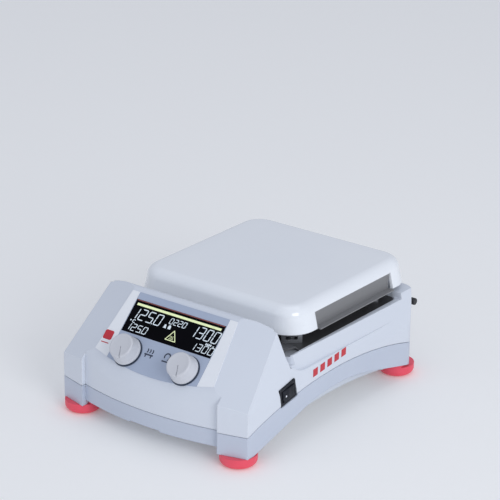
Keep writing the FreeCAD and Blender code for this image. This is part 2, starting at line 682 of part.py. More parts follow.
# ---------------------------------------------------------------- console
def overlay_outline(half_low, half_high, lift):
    """Outline on the panel: straight top and sides over a bowed lower edge."""
    low_left = Vector(-half_low, OVERLAY_SIDE, lift)
    low_right = Vector(half_low, OVERLAY_SIDE, lift)
    bottom = Vector(0, OVERLAY_FOOT, lift)
    top_left = Vector(-half_high, OVERLAY_TOP, lift)
    top_right = Vector(half_high, OVERLAY_TOP, lift)
    edges = [Part.Arc(low_left, bottom, low_right).toShape(), Part.makeLine(low_right, top_right),
             Part.makeLine(top_right, top_left), Part.makeLine(top_left, low_left)]
    return Part.Face(Part.Wire(Part.__sortEdges__(edges)))


def panel_sheet():
    """The full overlay, before it is split into its grey centre and its two white strips."""
    sheet = overlay_outline(WING_CREASE_X - 0.8, STRIP_TOP_X - 0.6, 0.02)
    sheet = sheet.extrude(Vector(0, 0, OVERLAY_T))
    for s in (1, -1):
        sheet = sheet.cut(rod((s * KNOB_X, KNOB_V, -1), (0, 0, 1), 5, 5.0))
    return sheet


def control_overlay():
    half, low, high = DISPLAY
    centre = panel_sheet().common(box(-STRIP_INNER, STRIP_INNER, -20, 80, -1, 5))
    return on_panel(centre.cut(box(-half, half, low, high, -1, 5)))


def panel_strips():
    strips = panel_sheet()
    strips = strips.cut(box(-STRIP_INNER - 0.15, STRIP_INNER + 0.15, -20, 80, -1, 5))
    return [on_panel(s) for s in strips.Solids]


def display_window():
    half, low, high = DISPLAY
    pane = box(-half + 0.1, half - 0.1, low + 0.1, high - 0.1, 0.02, OVERLAY_T + 0.1)
    return on_panel(pane)


def display_module():
    """Glass display cell with its metal frame, behind the window."""
    half, low, high = DISPLAY
    frame = box(-half + 1, half - 1, low - 1.5, high + 1, -9.5, -WALL - 0.4)
    frame = frame.cut(box(-half + 5, half - 5, low + 3, high - 3, -5.0, 0))
    glass = box(-half + 5.1, half - 5.1, low + 3.1, high - 3.1, -4.9, -WALL - 0.5)
    return on_panel(frame), on_panel(glass)


def control_board():
    board = box(-56, 56, -3, 56, -16.6, -15.0)
    for x, v in ((-52, 1), (52, 1), (-52, 52), (52, 52)):
        board = board.cut(rod((x, v, -20), (0, 0, 1), 10, 1.6))
    chips = [box(-12, 4, 30, 44, -18.2, -16.6), box(14, 26, 32, 42, -18.6, -16.6),
             box(-34, -22, 34, 40, -19.6, -16.6), box(-8, 12, 0, 8, -24.0, -16.6)]
    return on_panel(fuse([board] + chips))


def encoder_body(s):
    """Shaft encoder on the control board, with its threaded bush through the panel."""
    x = s * KNOB_X
    case = box(x - 6.5, x + 6.5, KNOB_V - 6.5, KNOB_V + 6.5, -14.9, -WALL - 0.2)
    bush = rod((x, KNOB_V, -WALL - 0.3), (0, 0, 1), WALL + 1.3, 4.4)
    bore = rod((x, KNOB_V, -9.0), (0, 0, 1), 20, SHAFT_R + RUN_FIT)
    cavity = rod((x, KNOB_V, -12.6), (0, 0, 1), 4.0, 4.2)
    return on_panel(fuse([case, bush]).cut(bore).cut(cavity))


def encoder_plunger(s):
    """Sprung button at the foot of the shaft, pressed when the knob is pushed."""
    disc = rod((s * KNOB_X, KNOB_V, -11.6), (0, 0, 1), 1.6, 3.9)
    return on_panel(disc)


def knob_shaft(s):
    """D-shaped shaft from the encoder up into the knob."""
    x = s * KNOB_X
    top = KNOB_BASE + 8.6
    shaft = rod((x, KNOB_V, -9.6), (0, 0, 1), 9.6 + top, SHAFT_R)
    return on_panel(shaft.cut(box(x - 5, x + 5, KNOB_V + 1.6, KNOB_V + 5, KNOB_BASE + 1.2, top + 1)))


def knob(s):
    """Round knob: a low skirt, a smooth body with a dished face, and a pointer groove."""
    foot, top = KNOB_BASE, KNOB_BASE + KNOB_H
    body_r, face_r, edge = KNOB_R - 0.9, KNOB_R - 3.4, 2.2
    outline = [Vector(0, 0, foot), Vector(KNOB_R, 0, foot), Vector(KNOB_R, 0, foot + 2.4),
               Vector(KNOB_R - 0.6, 0, foot + 3.0), Vector(body_r, 0, top - edge)]
    shoulder = Part.Arc(outline[-1], Vector(body_r - 0.62, 0, top - 0.62), Vector(face_r, 0, top))
    dish = Part.Arc(Vector(face_r, 0, top), Vector(face_r * 0.55, 0, top - 0.55), Vector(0, 0, top - 0.8))
    edges = [Part.makeLine(outline[i], outline[i + 1]) for i in range(len(outline) - 1)]
    edges += [shoulder.toShape(), dish.toShape(), Part.makeLine(Vector(0, 0, top - 0.8), outline[0])]
    body = Part.Face(Part.Wire(Part.__sortEdges__(edges))).revolve(Vector(0, 0, 0), Vector(0, 0, 1), 360)
    groove = box(-0.6, 0.6, -KNOB_R - 1, -1.5, top - 1.5, top + 1)
    hollow = tube(0, 0, foot - 0.1, foot + 5.0, KNOB_R - 2.6, 5.0)
    bore = cyl(0, 0, foot - 1, foot + 8.8, SHAFT_R).cut(box(-5, 5, 1.6, 5, foot + 1.2, foot + 9))
    solid = body.cut(groove).cut(hollow).cut(bore)
    return on_panel(solid.translated(Vector(s * KNOB_X, KNOB_V, 0)))


# ---------------------------------------------------------------- stirring drive
def motor_parts():
    """The motor's case and stator, and its two bearings."""
    z0, z1 = MOTOR_Z
    case = tube(0, MOTOR_Y, z0, z1, MOTOR_R, 24.0)
    caps = [tube(0, MOTOR_Y, z0, z0 + 2.0, 24.2, 8.0), tube(0, MOTOR_Y, z1 - 2.0, z1, 24.2, 8.0)]
    seats = [tube(0, MOTOR_Y, z0, z0 + 6.0, 10.0, 8.0), tube(0, MOTOR_Y, z1 - 6.0, z1, 10.0, 8.0)]
    stator = tube(0, MOTOR_Y, z0 + 6.5, z1 - 6.5, 23.9, 14.6)
    for i in range(6):
        angle = math.radians(60 * i)
        slot = rod((19.6 * math.cos(angle), MOTOR_Y + 19.6 * math.sin(angle), z0), (0, 0, 1), 30, 2.0)
        stator = stator.cut(slot)
    bearings = [tube(0, MOTOR_Y, z, z + 5.0, 7.98, SHAFT_R + 0.03) for z in (z0 + 0.5, z1 - 5.5)]
    return fuse([case] + caps + seats), stator, bearings


def motor_rotor():
    z0, z1 = MOTOR_Z
    shaft = cyl(0, MOTOR_Y, z0 - 2.0, 73.0, SHAFT_R)
    core = cyl(0, MOTOR_Y, z0 + 7.0, z1 - 7.0, 14.0)
    return fuse([shaft, core])


def magnet_carrier():
    """Aluminium arm on the motor shaft that holds the two drive magnets."""
    hub = cyl(0, MOTOR_Y, 62.0, 76.0, 9.0)
    arm = round_box(-36, 36, MOTOR_Y - 11, MOTOR_Y + 11, 70.0, 74.0, 8.0)
    cups = [cyl(s * 24, MOTOR_Y, 70.0, 78.0, 9.6) for s in (1, -1)]
    pockets = [cyl(s * 24, MOTOR_Y, 73.0, 79.0, 8.0) for s in (1, -1)]
    carrier = fuse([hub, arm] + cups)
    for pocket in pockets:
        carrier = carrier.cut(pocket)
    return carrier.cut(cyl(0, MOTOR_Y, 60, 73.0, SHAFT_R)).cut(
        rod((0, MOTOR_Y, 66.0), (1, 0, 0), 12, 1.5))


def drive_magnets():
    return [cyl(s * 24, MOTOR_Y, 73.0, 80.5, 8.0) for s in (1, -1)]


def carrier_set_screw():
    return rod((SHAFT_R, MOTOR_Y, 66.0), (1, 0, 0), 5.6, 1.5)


def motor_bracket():
    """Pressed plate that the motor hangs from, carried by the bridge on rubber mounts."""
    plate = round_box(-46, 46, MOTOR_Y - 31, MOTOR_Y + 31, MOTOR_Z[1] + 0.05, MOTOR_Z[1] + 2.0, 8)
    plate = plate.cut(cyl(0, MOTOR_Y, 50, 70, 11))
    for x, y in mount_places():
        plate = plate.cut(cyl(x, y, 50, 70, 3.5))
    return plate


def mount_places():
    return [(sx * 39.0, MOTOR_Y + sy * 24.0) for sx in (1, -1) for sy in (1, -1)]


def motor_mounts():
    """Rubber grommets between the motor bracket and the bridge above it."""
    z = MOTOR_Z[1]
    solids = []
    for x, y in mount_places():
        spool = fuse([cyl(x, y, z + 2.02, z + 5.0, 5.5), cyl(x, y, z - 2.0, z + 0.03, 5.5),
                      cyl(x, y, z - 0.5, z + 4.0, 3.45)])
        solids.append(spool.cut(cyl(x, y, 40, 80, 1.6)))
    return solids


def motor_bridge():
    """Steel frame that spans the deck opening and carries the motor on its mounts."""
    z0 = MOTOR_Z[1] + 5.05
    z1 = DECK_Z - 4.6
    rails = []
    for s in (1, -1):
        x0, x1 = sorted((s * 33, s * 72))
        rails.append(box(x0, x1, MOTOR_Y - 32, MOTOR_Y + 32, z0, z0 + 1.5))
        x0, x1 = sorted((s * 70.5, s * 72))
        rails.append(box(x0, x1, MOTOR_Y - 32, MOTOR_Y + 32, z0, z1))
        x0, x1 = sorted((s * 70.5, s * 82))
        rails.append(box(x0, x1, MOTOR_Y - 32, MOTOR_Y + 32, z1, z1 + 1.5))
    ends = [box(-40, 40, MOTOR_Y + s * 36 - 6, MOTOR_Y + s * 36 + 6, z0, z0 + 1.5) for s in (1, -1)]
    frame = fuse(rails + ends)
    for x, y in mount_places():
        frame = frame.cut(cyl(x, y, 50, 80, 1.6))
    return frame


def motor_screws():
    z = MOTOR_Z[1]
    return [fuse([cyl(x, y, z - 5.0, z - 2.1, 3.2), cyl(x, y, z - 2.2, z + 9.0, 1.5)])
            for x, y in mount_places()]


# ---------------------------------------------------------------- electrics inside
def power_board():
    """Power board on the base's front half, with its regulator, capacitors and relay."""
    z = 31.0
    board = box(-74, 74, -116, -46, z, z + 1.6)
    parts = [cyl(-60, -102, z + 1.6, z + 21.6, 6.0), cyl(-44, -102, z + 1.6, z + 21.6, 6.0),
             box(-30, -14, -110, -94, z + 1.6, z + 16.6), box(18, 32, -108, -92, z + 1.6, z + 13.6),
             box(-8, 12, -104, -97, z + 1.6, z + 8.0),
             box(-70, -52, -86, -54, z + 1.6, z + 9.6), box(60, 70, -112, -92, z + 1.6, z + 10.6)]
    whole = fuse([board] + parts)
    for x, y in board_posts():
        whole = whole.cut(cyl(x, y, z - 1, z + 3, 1.7))
    return whole


def board_posts():
    return [(sx * 70.0, y) for sx in (1, -1) for y in (-90.0, -49.5)]


def board_standoffs():
    """Hexagonal standoffs between the pan and the power board."""
    solids = []
    for x, y in board_posts():
        foot = pan_top(y) + 0.35
        hexagon = [(x + 3 * math.cos(math.radians(60 * i)), y + 3 * math.sin(math.radians(60 * i)), foot)
                   for i in range(6)]
        solids.append(polygon_face(hexagon).extrude(Vector(0, 0, 30.95 - foot)))
    return solids


def transformer():
    """Laminated transformer beside the capacitors."""
    x0, y0, z0 = 12.0, -82.0, 32.65
    core = box(x0, x0 + 36, y0, y0 + 30, z0 + 3, z0 + 27)
    coil = round_box(x0 + 6, x0 + 30, y0 - 5, y0 + 35, z0, z0 + 29.5, 4)
    return fuse([core, coil])


def heat_sink():
    """Finned aluminium sink for the heater's switching device."""
    x0, y0, z0 = -44.0, -84.0, 32.65
    base = box(x0, x0 + 42, y0, y0 + 3, z0, z0 + 26)
    fins = [box(x0 + i * 5.0, x0 + i * 5.0 + 1.5, y0 + 3, y0 + 22, z0, z0 + 26) for i in range(9)]
    return fuse([base] + fins)


def path_tube(points, r, bend):
    """A round lead along straight runs joined by tangent arcs."""
    knots = [Vector(*p) for p in points]
    edges = []
    start = knots[0]
    for i in range(1, len(knots) - 1):
        a = (knots[i - 1] - knots[i]).normalize()
        b = (knots[i + 1] - knots[i]).normalize()
        half = a.getAngle(b) / 2
        back = bend / math.tan(half)
        centre = knots[i] + (a + b).normalize() * (bend / math.sin(half))
        first = knots[i] + a * back
        last = knots[i] + b * back
        middle = centre + (knots[i] - centre).normalize() * bend
        edges.append(Part.makeLine(start, first))
        edges.append(Part.Arc(first, middle, last).toShape())
        start = last
    edges.append(Part.makeLine(start, knots[-1]))
    wire = Part.Wire(edges)
    ring = Part.Wire(Part.makeCircle(r, knots[0], knots[1] - knots[0]))
    return wire.makePipeShell([ring], True, True)


LEAD_X = (52.0, 57.0)
LEAD_Y = (-60.0, -30.0)


def lead_holes(z0, z1):
    return fuse([cyl(x, LEAD_Y[1], z0, z1, 2.1) for x in LEAD_X])


def heater_leads():
    """Two glass-braided leads from the power board up to the heater."""
    top = PLATE_TOP - PLATE_THICK - 1.35
    return [path_tube([(x, LEAD_Y[0], 32.7), (x, LEAD_Y[0], 66.0), (x, LEAD_Y[1], 66.0),
                       (x, LEAD_Y[1], top)], 1.6, 6.0) for x in LEAD_X]


def motor_lead():
    return path_tube([(-20, -46, 32.7), (-20, -46, 46.0), (-20, 4.6, 46.0)], 1.5, 6.0)


def ribbon_cable():
    """Flat cable from the control board's connector to the power board."""
    half, t = 9.0, 0.9
    low = [(-112.6, 48.2), (-107.0, 44.2), (-101.0, 40.0)]
    high = [(y + t, z + t) for y, z in reversed(low)]
    return polygon_face([(-half + 2, y, z) for y, z in low + high]).extrude(Vector(2 * half, 0, 0))


# ---------------------------------------------------------------- power switch
def switch_frame():
    """Snap-in frame of the power switch, set into the right flank."""
    face_x, back_x = 99.0, 78.0
    bezel = box(face_x - 2.0, face_x, -11.0, 11.0, -8.0, 8.0)
    case = box(back_x, face_x - 1.9, -9.6, 9.6, -6.4, 6.4)
    frame = fuse([bezel, case])
    frame = frame.cut(box(face_x - 9.0, face_x + 1, -8.6, 8.6, -5.4, 5.4))
    tabs = [box(back_x - 7, back_x + 0.1, y - 0.4, y + 0.4, -2.4, 2.4) for y in (-6, 0, 6)]
    pins = [rod((face_x - 4.2, 0, s * 5.5 - 0.5), (0, 0, 1), 1.0, 1.0) for s in (1, -1)]
    return on_switch(fuse([frame] + tabs + pins))


def rocker():
    """Rocker pressed in at its rear end; it turns on two short pins of the frame."""
    axis_x = 94.8
    reach = 7.0
    outline = [(axis_x - 2.2, -reach), (axis_x - 2.2, reach), (98.2, reach), (98.0, 0.0), (100.3, -reach)]
    body = polygon_face([(x, y, -4.9) for x, y in outline]).extrude(Vector(0, 0, 9.8))
    for s in (1, -1):
        body = body.cut(rod((axis_x, 0, s * 5.0 - 0.6), (0, 0, 1), 1.2, 1.0 + RUN_FIT))
    return on_switch(body)


# ---------------------------------------------------------------- rear connectors
def mains_inlet():
    """Appliance inlet with a fuse drawer below it."""
    x, z, y = INLET_X, INLET_Z, REAR_Y
    flange = box(x - 15.5, x + 15.5, y, y + 2.5, z - 18.5, z + 18.5)
    case = box(x - 13.6, x + 13.6, y - 24, y + 0.1, z - 16.6, z + 16.6)
    inlet = fuse([flange, case])
    mouth = box(x - 12.2, x + 12.2, y - 14, y + 3, z - 1.4, z + 14.6)
    corners = [e for e in mouth.Edges if abs(e.tangentAt(0).y) > 0.99 and e.CenterOfMass.z > z + 10]
    mouth = mouth.makeChamfer(4.5, corners)
    return inlet.cut(mouth).cut(box(x - 10.4, x + 10.4, y - 20, y + 3, z - 14.4, z - 3.6))


def inlet_pins():
    y = REAR_Y
    return [box(INLET_X + dx - 1, INLET_X + dx + 1, y - 14, y - 2, INLET_Z + dz - 2, INLET_Z + dz + 2)
            for dx, dz in ((0, 10.0), (-7, 5.0), (7, 5.0))]


def fuse_drawer():
    x, z, y = INLET_X, INLET_Z - 9.0, REAR_Y
    face = box(x - 10.0, x + 10.0, y + 0.4, y + 3.4, z - 5.0, z + 5.0)
    tray = box(x - 10.0, x + 10.0, y - 19.4, y + 0.5, z - 5.0, z + 5.0)
    tray = tray.cut(box(x - 8.6, x + 8.6, y - 18.0, y - 1.0, z - 3.6, z + 6.0))
    grip = box(x - 5, x + 5, y + 3.3, y + 4.6, z + 2.6, z + 4.0)
    return fuse([face, tray, grip])


def fuses():
    """Two 5 x 20 style fuses lying in the drawer."""
    z = INLET_Z - 9.0
    return [rod((INLET_X - 8.0, REAR_Y - dy, z - 0.9), (1, 0, 0), 16.0, 2.6) for dy in (5.5, 12.5)]


def serial_port():
    """Nine-way serial connector with its two jack screws."""
    y, z = REAR_Y, INLET_Z
    flange = box(-15.5, 15.5, y, y + 1.0, z - 6.2, z + 6.2)
    back = box(-9.8, 9.8, y - 9, y + 0.1, z - 4.8, z + 4.8)
    shell = polygon_face([(-8.4, y + 1, z + 4), (8.4, y + 1, z + 4),
                          (7.2, y + 1, z - 4), (-7.2, y + 1, z - 4)])
    port = fuse([flange, back, shell.extrude(Vector(0, 5.2, 0))])
    for row, count in ((1.4, 5), (-1.4, 4)):
        for i in range(count):
            x = (i - (count - 1) / 2) * 2.76
            port = port.cut(rod((x, y + 3, z + row), (0, 1, 0), 5, 0.55))
    nuts = [rod((s * 12.5, y + 0.9, z), (0, 1, 0), 4.6, 2.4) for s in (1, -1)]
    return fuse([port] + nuts)


def probe_socket():
    """Round socket for the external temperature probe."""
    y, z = REAR_Y, INLET_Z
    body = fuse([rod((32, y - 12, z), (0, 1, 0), 12.1, 5.0), rod((32, y, z), (0, 1, 0), 2.6, 7.2)])
    body = body.cut(rod((32, y - 6, z), (0, 1, 0), 10, 1.85))
    return body


# ---------------------------------------------------------------- support rod holder
def rod_holder():
    """Die-cast socket for a support rod, screwed to the rear wall."""
    z0, z1 = ROD_Z[0] - 3.0, ROD_Z[1]
    boss = cyl(ROD_X, ROD_Y, z0, z1, 11.5)
    plate = box(ROD_X - 13.5, ROD_X + 13.5, REAR_Y, REAR_Y + 3.0, z0, z1 - 2)
    web = box(ROD_X - 8, ROD_X + 8, REAR_Y + 2.9, ROD_Y, z0, z1)
    nose = rod((ROD_X + 6, ROD_Y, CLAMP_Z), (1, 0, 0), 7.5, 5.0)
    holder = fuse([boss, plate, web, nose])
    holder = holder.cut(cyl(ROD_X, ROD_Y, ROD_Z[0], z1 + 1, ROD_R))
    holder = holder.cut(rod((ROD_X, ROD_Y, CLAMP_Z), (1, 0, 0), 20, CLAMP_R + RUN_FIT))
    for x, z in rod_screw_places():
        holder = holder.cut(rod((x, REAR_Y - 1, z), (0, 1, 0), 6, 1.7))
    return holder


def rod_screw_places():
    return [(ROD_X + s * 10.8, CLAMP_Z - 14) for s in (1, -1)]


def rod_holder_screws():
    return [fuse([rod((x, REAR_Y + 3.02, z), (0, 1, 0), 2.0, 2.5),
                  rod((x, REAR_Y - 5.4, z), (0, 1, 0), 8.5, 1.6)]) for x, z in rod_screw_places()]


def clamp_tip():
    """Brass pad at the end of the clamp screw; clear of the socket when backed out."""
    return rod((ROD_X + ROD_R + 0.5, ROD_Y, CLAMP_Z), (1, 0, 0), 2.0, CLAMP_R - 0.3)


def clamp_screw():
    """Thumb screw across the socket, with one flat finger tab."""
    x0 = ROD_X + ROD_R + 2.8
    head_x = ROD_X + 16.8
    stem = rod((x0, ROD_Y, CLAMP_Z), (1, 0, 0), head_x - x0, CLAMP_R)
    head = rod((head_x - 0.1, ROD_Y, CLAMP_Z), (1, 0, 0), 8.8, 3.2)
    tab = [(head_x, -2.8), (head_x + 3.0, -2.8), (head_x + 2.2, 9.0), (head_x + 0.8, 9.0)]
    face = polygon_face([(x, ROD_Y - 1.1, CLAMP_Z + z) for x, z in tab])
    head = head.makeFillet(0.8, [e for e in head.Edges if e.BoundBox.XMin > head_x + 5])
    return fuse([stem, head, face.extrude(Vector(0, 2.2, 0))])


def build():
    """Builds every node of the stirrer."""
    probe, cutout = thermal_parts()
    frame, glass = display_module()
    case, stator, bearings = motor_parts()
    nodes = {
        "upper_housing": upper_housing(), "base_shell": base_shell(), "bottom_pan": bottom_pan(),
        "feet": feet(), "foot_screws": foot_screws(), "housing_screws": housing_screws(),
        "top_plate": top_plate(), "heater_element": heater_element(),
        "heater_insulation": heater_insulation(), "heat_shield": heat_shield(),
        "plate_brackets": plate_brackets(), "plate_screws": plate_screws(),
        "deck_tray": deck_tray(), "magnet_cover": magnet_cover(),
        "plate_probe": probe, "thermal_cutout": cutout,
        "control_overlay": control_overlay(), "panel_strips": panel_strips(),
        "display_window": display_window(), "display_frame": frame, "display_glass": glass,
        "control_board": control_board(),
        "motor_case": case, "motor_stator": stator, "motor_bearings": bearings,
        "motor_rotor": motor_rotor(), "magnet_carrier": magnet_carrier(),
        "drive_magnets": drive_magnets(), "carrier_set_screw": carrier_set_screw(),
        "motor_bracket": motor_bracket(), "motor_mounts": motor_mounts(),
        "motor_bridge": motor_bridge(), "motor_screws": motor_screws(),
        "power_board": power_board(), "board_standoffs": board_standoffs(),
        "transformer": transformer(), "heat_sink": heat_sink(),
        "heater_leads": heater_leads(), "motor_lead": motor_lead(), "ribbon_cable": ribbon_cable(),
        "switch_frame": switch_frame(), "power_rocker": rocker(),
        "mains_inlet": mains_inlet(), "inlet_pins": inlet_pins(),
        "fuse_drawer": fuse_drawer(), "fuses": fuses(),
        "serial_port": serial_port(), "probe_socket": probe_socket(),
        "rod_holder": rod_holder(), "rod_holder_screws": rod_holder_screws(),
        "clamp_tip": clamp_tip(), "clamp_screw": clamp_screw(),
    }
    for side, name in ((-1, "left"), (1, "right")):
        nodes[name + "_encoder"] = encoder_body(side)
        nodes[name + "_plunger"] = encoder_plunger(side)
        nodes[name + "_knob_shaft"] = knob_shaft(side)
        nodes[name + "_knob"] = knob(side)
    for node, shapes in nodes.items():
        save(node, shapes)
    print(len(nodes), "nodes")


build()
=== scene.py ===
"""Looks of a hot-plate magnetic stirrer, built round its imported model.

Metres throughout, in the model's own frame: +X right, +Y back, +Z up. Each sub-assembly is a class
whose fields are its sizes; each finish is a frozen dataclass that wires one material.
"""

import json
import logging
import math
from dataclasses import dataclass
from enum import Enum
from typing import Iterable, Sequence

import bmesh
import bpy
from mathutils import Matrix, Vector


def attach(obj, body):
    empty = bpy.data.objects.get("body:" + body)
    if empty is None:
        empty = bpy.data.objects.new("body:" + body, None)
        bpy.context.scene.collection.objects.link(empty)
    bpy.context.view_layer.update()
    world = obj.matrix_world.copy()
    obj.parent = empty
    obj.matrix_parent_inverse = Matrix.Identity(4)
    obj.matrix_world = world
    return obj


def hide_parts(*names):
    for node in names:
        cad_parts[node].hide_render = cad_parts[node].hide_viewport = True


LOG = logging.getLogger("stirrer")
Colour = tuple[float, float, float]
Point = tuple[float, float]

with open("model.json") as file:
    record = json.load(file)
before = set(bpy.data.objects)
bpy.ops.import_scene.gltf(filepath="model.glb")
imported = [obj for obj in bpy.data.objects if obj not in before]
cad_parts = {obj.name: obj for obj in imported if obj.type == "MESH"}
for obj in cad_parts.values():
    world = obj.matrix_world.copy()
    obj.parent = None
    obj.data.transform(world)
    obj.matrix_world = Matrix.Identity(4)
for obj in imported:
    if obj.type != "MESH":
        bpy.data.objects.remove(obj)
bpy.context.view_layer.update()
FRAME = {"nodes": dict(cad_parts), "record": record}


class Body(Enum):
    """Names of the moving bodies that pieces ride on."""

    HOUSING = "housing"
    LEFT_TURN = "left_turn"
    RIGHT_TURN = "right_turn"
    ROCKER = "rocker"


class Digit(Enum):
    """Lit bars of each numeral, in the order top, upper right, lower right, bottom, lower left,
    upper left, middle."""

    ZERO = "1111110"
    ONE = "0110000"
    TWO = "1101101"
    THREE = "1111001"
    FIVE = "1011011"


# ------------------------------------------------------------------ placing
PANEL_FOOT = Vector((0.0, -0.133, 0.0635))
SLOPE = math.sqrt(0.5)
PANEL = Matrix((
    (1.0, 0.0, 0.0, PANEL_FOOT.x),
    (0.0, SLOPE, -SLOPE, PANEL_FOOT.y),
    (0.0, SLOPE, SLOPE, PANEL_FOOT.z),
    (0.0, 0.0, 0.0, 1.0),
))


# ------------------------------------------------------------------ materials
# Share by which edge colours are raised; on coatings this is partly wear and partly a painted
# highlight.
EDGE_GAIN = 0.25
DULL = 0.86
BLACK = (0.0, 0.0, 0.0)
WHITE = (1.0, 1.0, 1.0)


class Graph:
    """One material's node tree while it is being wired."""

    def __init__(self, name: str) -> None:
        """Starts a material with an empty tree and one surface shader.

        Args:
            name: name of the material.
        """
        self.material = bpy.data.materials.new(name)
        self.material.use_nodes = True
        self.tree = self.material.node_tree
        self.tree.nodes.clear()
        self.shader = self.node("ShaderNodeBsdfPrincipled")
        output = self.node("ShaderNodeOutputMaterial")
        self.link(self.shader.outputs["BSDF"], output.inputs["Surface"])
        self.coord = self.node("ShaderNodeTexCoord").outputs["Object"]

    def node(self, kind: str, **settings: object) -> bpy.types.Node:
        """Adds a node.

        Args:
            kind: the node's type name.
            settings: attributes set on the node.

        Returns:
            The new node.
        """
        made = self.tree.nodes.new(kind)
        for key, value in settings.items():
            setattr(made, key, value)
        return made

    def link(self, source: bpy.types.NodeSocket, target: bpy.types.NodeSocket) -> None:
        """Joins two sockets."""
        self.tree.links.new(source, target)

    def set(self, **values: object) -> None:
        """Sets plain values on the surface shader's sockets, with _ for a space in a name."""
        for key, value in values.items():
            socket = self.shader.inputs[key.replace("_", " ")]
            socket.default_value = (*value, 1.0) if isinstance(value, tuple) else value

    def stretched(self, scale: Sequence[float]) -> bpy.types.NodeSocket:
        """Object coordinates scaled per axis.

        Args:
            scale: factor along each axis.

        Returns:
            The scaled coordinate.
        """
        mapping = self.node("ShaderNodeMapping")
        mapping.inputs["Scale"].default_value = scale
        self.link(self.coord, mapping.inputs["Vector"])
        return mapping.outputs["Vector"]

    def noise(self, scale: float, detail: float = 3.0, along: Sequence[float] = (1, 1, 1)
              ) -> bpy.types.NodeSocket:
        """Noise over the object's own coordinates.

        Args:
            scale: noise scale, per metre.
            detail: number of octaves.
            along: stretch of each axis.

        Returns:
            The noise value.
        """
        made = self.node("ShaderNodeTexNoise")
        made.inputs["Scale"].default_value = scale
        made.inputs["Detail"].default_value = detail
        self.link(self.stretched(along), made.inputs["Vector"])
        return made.outputs["Fac"]

    def ramp(self, factor: bpy.types.NodeSocket, stops: Sequence[tuple[float, Colour]]
             ) -> bpy.types.NodeSocket:
        """Colour ramp over a factor.

        Args:
            factor: the driving value.
            stops: (position, colour) pairs, in order.

        Returns:
            The ramp's colour.
        """
        made = self.node("ShaderNodeValToRGB")
        elements = made.color_ramp.elements
        while len(elements) < len(stops):
            elements.new(0.5)
        for element, (position, colour) in zip(elements, stops):
            element.position = position
            element.color = (*colour, 1.0)
        self.link(factor, made.inputs["Fac"])
        return made.outputs["Color"]

    def span(self, factor: bpy.types.NodeSocket, low: float, high: float) -> bpy.types.NodeSocket:
        """Maps a 0 to 1 factor onto a range of values.

        Args:
            factor: the driving value.
            low: result at 0.
            high: result at 1.

        Returns:
            The mapped value.
        """
        made = self.node("ShaderNodeMapRange")
        made.inputs["To Min"].default_value = low
        made.inputs["To Max"].default_value = high
        self.link(factor, made.inputs["Value"])
        return made.outputs["Result"]

    def soft_edges(self, radius: float) -> tuple[bpy.types.NodeSocket, bpy.types.NodeSocket]:
        """Rounded shading on sharp edges.

        Args:
            radius: radius of the rounding, in metres.

        Returns:
            The rounded normal, and how far it is turned from the true one (1 is not at all).
        """
        bevel = self.node("ShaderNodeBevel", samples=4)
        bevel.inputs["Radius"].default_value = radius
        geometry = self.node("ShaderNodeNewGeometry")
        dot = self.node("ShaderNodeVectorMath", operation="DOT_PRODUCT")
        self.link(bevel.outputs["Normal"], dot.inputs[0])
        self.link(geometry.outputs["Normal"], dot.inputs[1])
        return bevel.outputs["Normal"], dot.outputs["Value"]

    def edge_mask(self, facing: bpy.types.NodeSocket, flat: float, turned: float
                  ) -> bpy.types.NodeSocket:
        """Picks out rounded edges.

        Args:
            facing: how far the rounded normal is turned, as soft_edges gives it.
            flat: value at which the mask is 0.
            turned: value at which the mask is 1.

        Returns:
            The mask.
        """
        made = self.node("ShaderNodeMapRange")
        made.inputs["From Min"].default_value = flat
        made.inputs["From Max"].default_value = turned
        self.link(facing, made.inputs["Value"])
        return made.outputs["Result"]

    def bump(self, height: bpy.types.NodeSocket, strength: float, distance: float,
             normal: bpy.types.NodeSocket | None = None) -> bpy.types.NodeSocket:
        """Bump from a height.

        Args:
            height: the height value.
            strength: share of the bump.
            distance: height of the relief, in metres.
            normal: a normal to start from.

        Returns:
            The bumped normal.
        """
        made = self.node("ShaderNodeBump")
        made.inputs["Strength"].default_value = strength
        made.inputs["Distance"].default_value = distance
        self.link(height, made.inputs["Height"])
        if normal is not None:
            self.link(normal, made.inputs["Normal"])
        return made.outputs["Normal"]

    def mix(self, factor: bpy.types.NodeSocket, first: object, second: object
            ) -> bpy.types.NodeSocket:
        """Mixes two colours or sockets.

        Args:
            factor: the driving value.
            first: colour or socket at 0.
            second: colour or socket at 1.

        Returns:
            The mixed colour.
        """
        made = self.node("ShaderNodeMix", data_type="RGBA")
        self.link(factor, made.inputs["Factor"])
        for value, key in ((first, "A"), (second, "B")):
            socket = [s for s in made.inputs if s.name == key and s.type == "RGBA"][0]
            if isinstance(value, tuple):
                socket.default_value = (*value, 1.0)
            else:
                self.link(value, socket)
        return [s for s in made.outputs if s.type == "RGBA"][0]

    def dress(self, colour: bpy.types.NodeSocket, roughness: bpy.types.NodeSocket,
              normal: bpy.types.NodeSocket) -> None:
        """Joins colour, roughness and normal to the surface shader."""
        self.link(colour, self.shader.inputs["Base Color"])
        self.link(roughness, self.shader.inputs["Roughness"])
        self.link(normal, self.shader.inputs["Normal"])


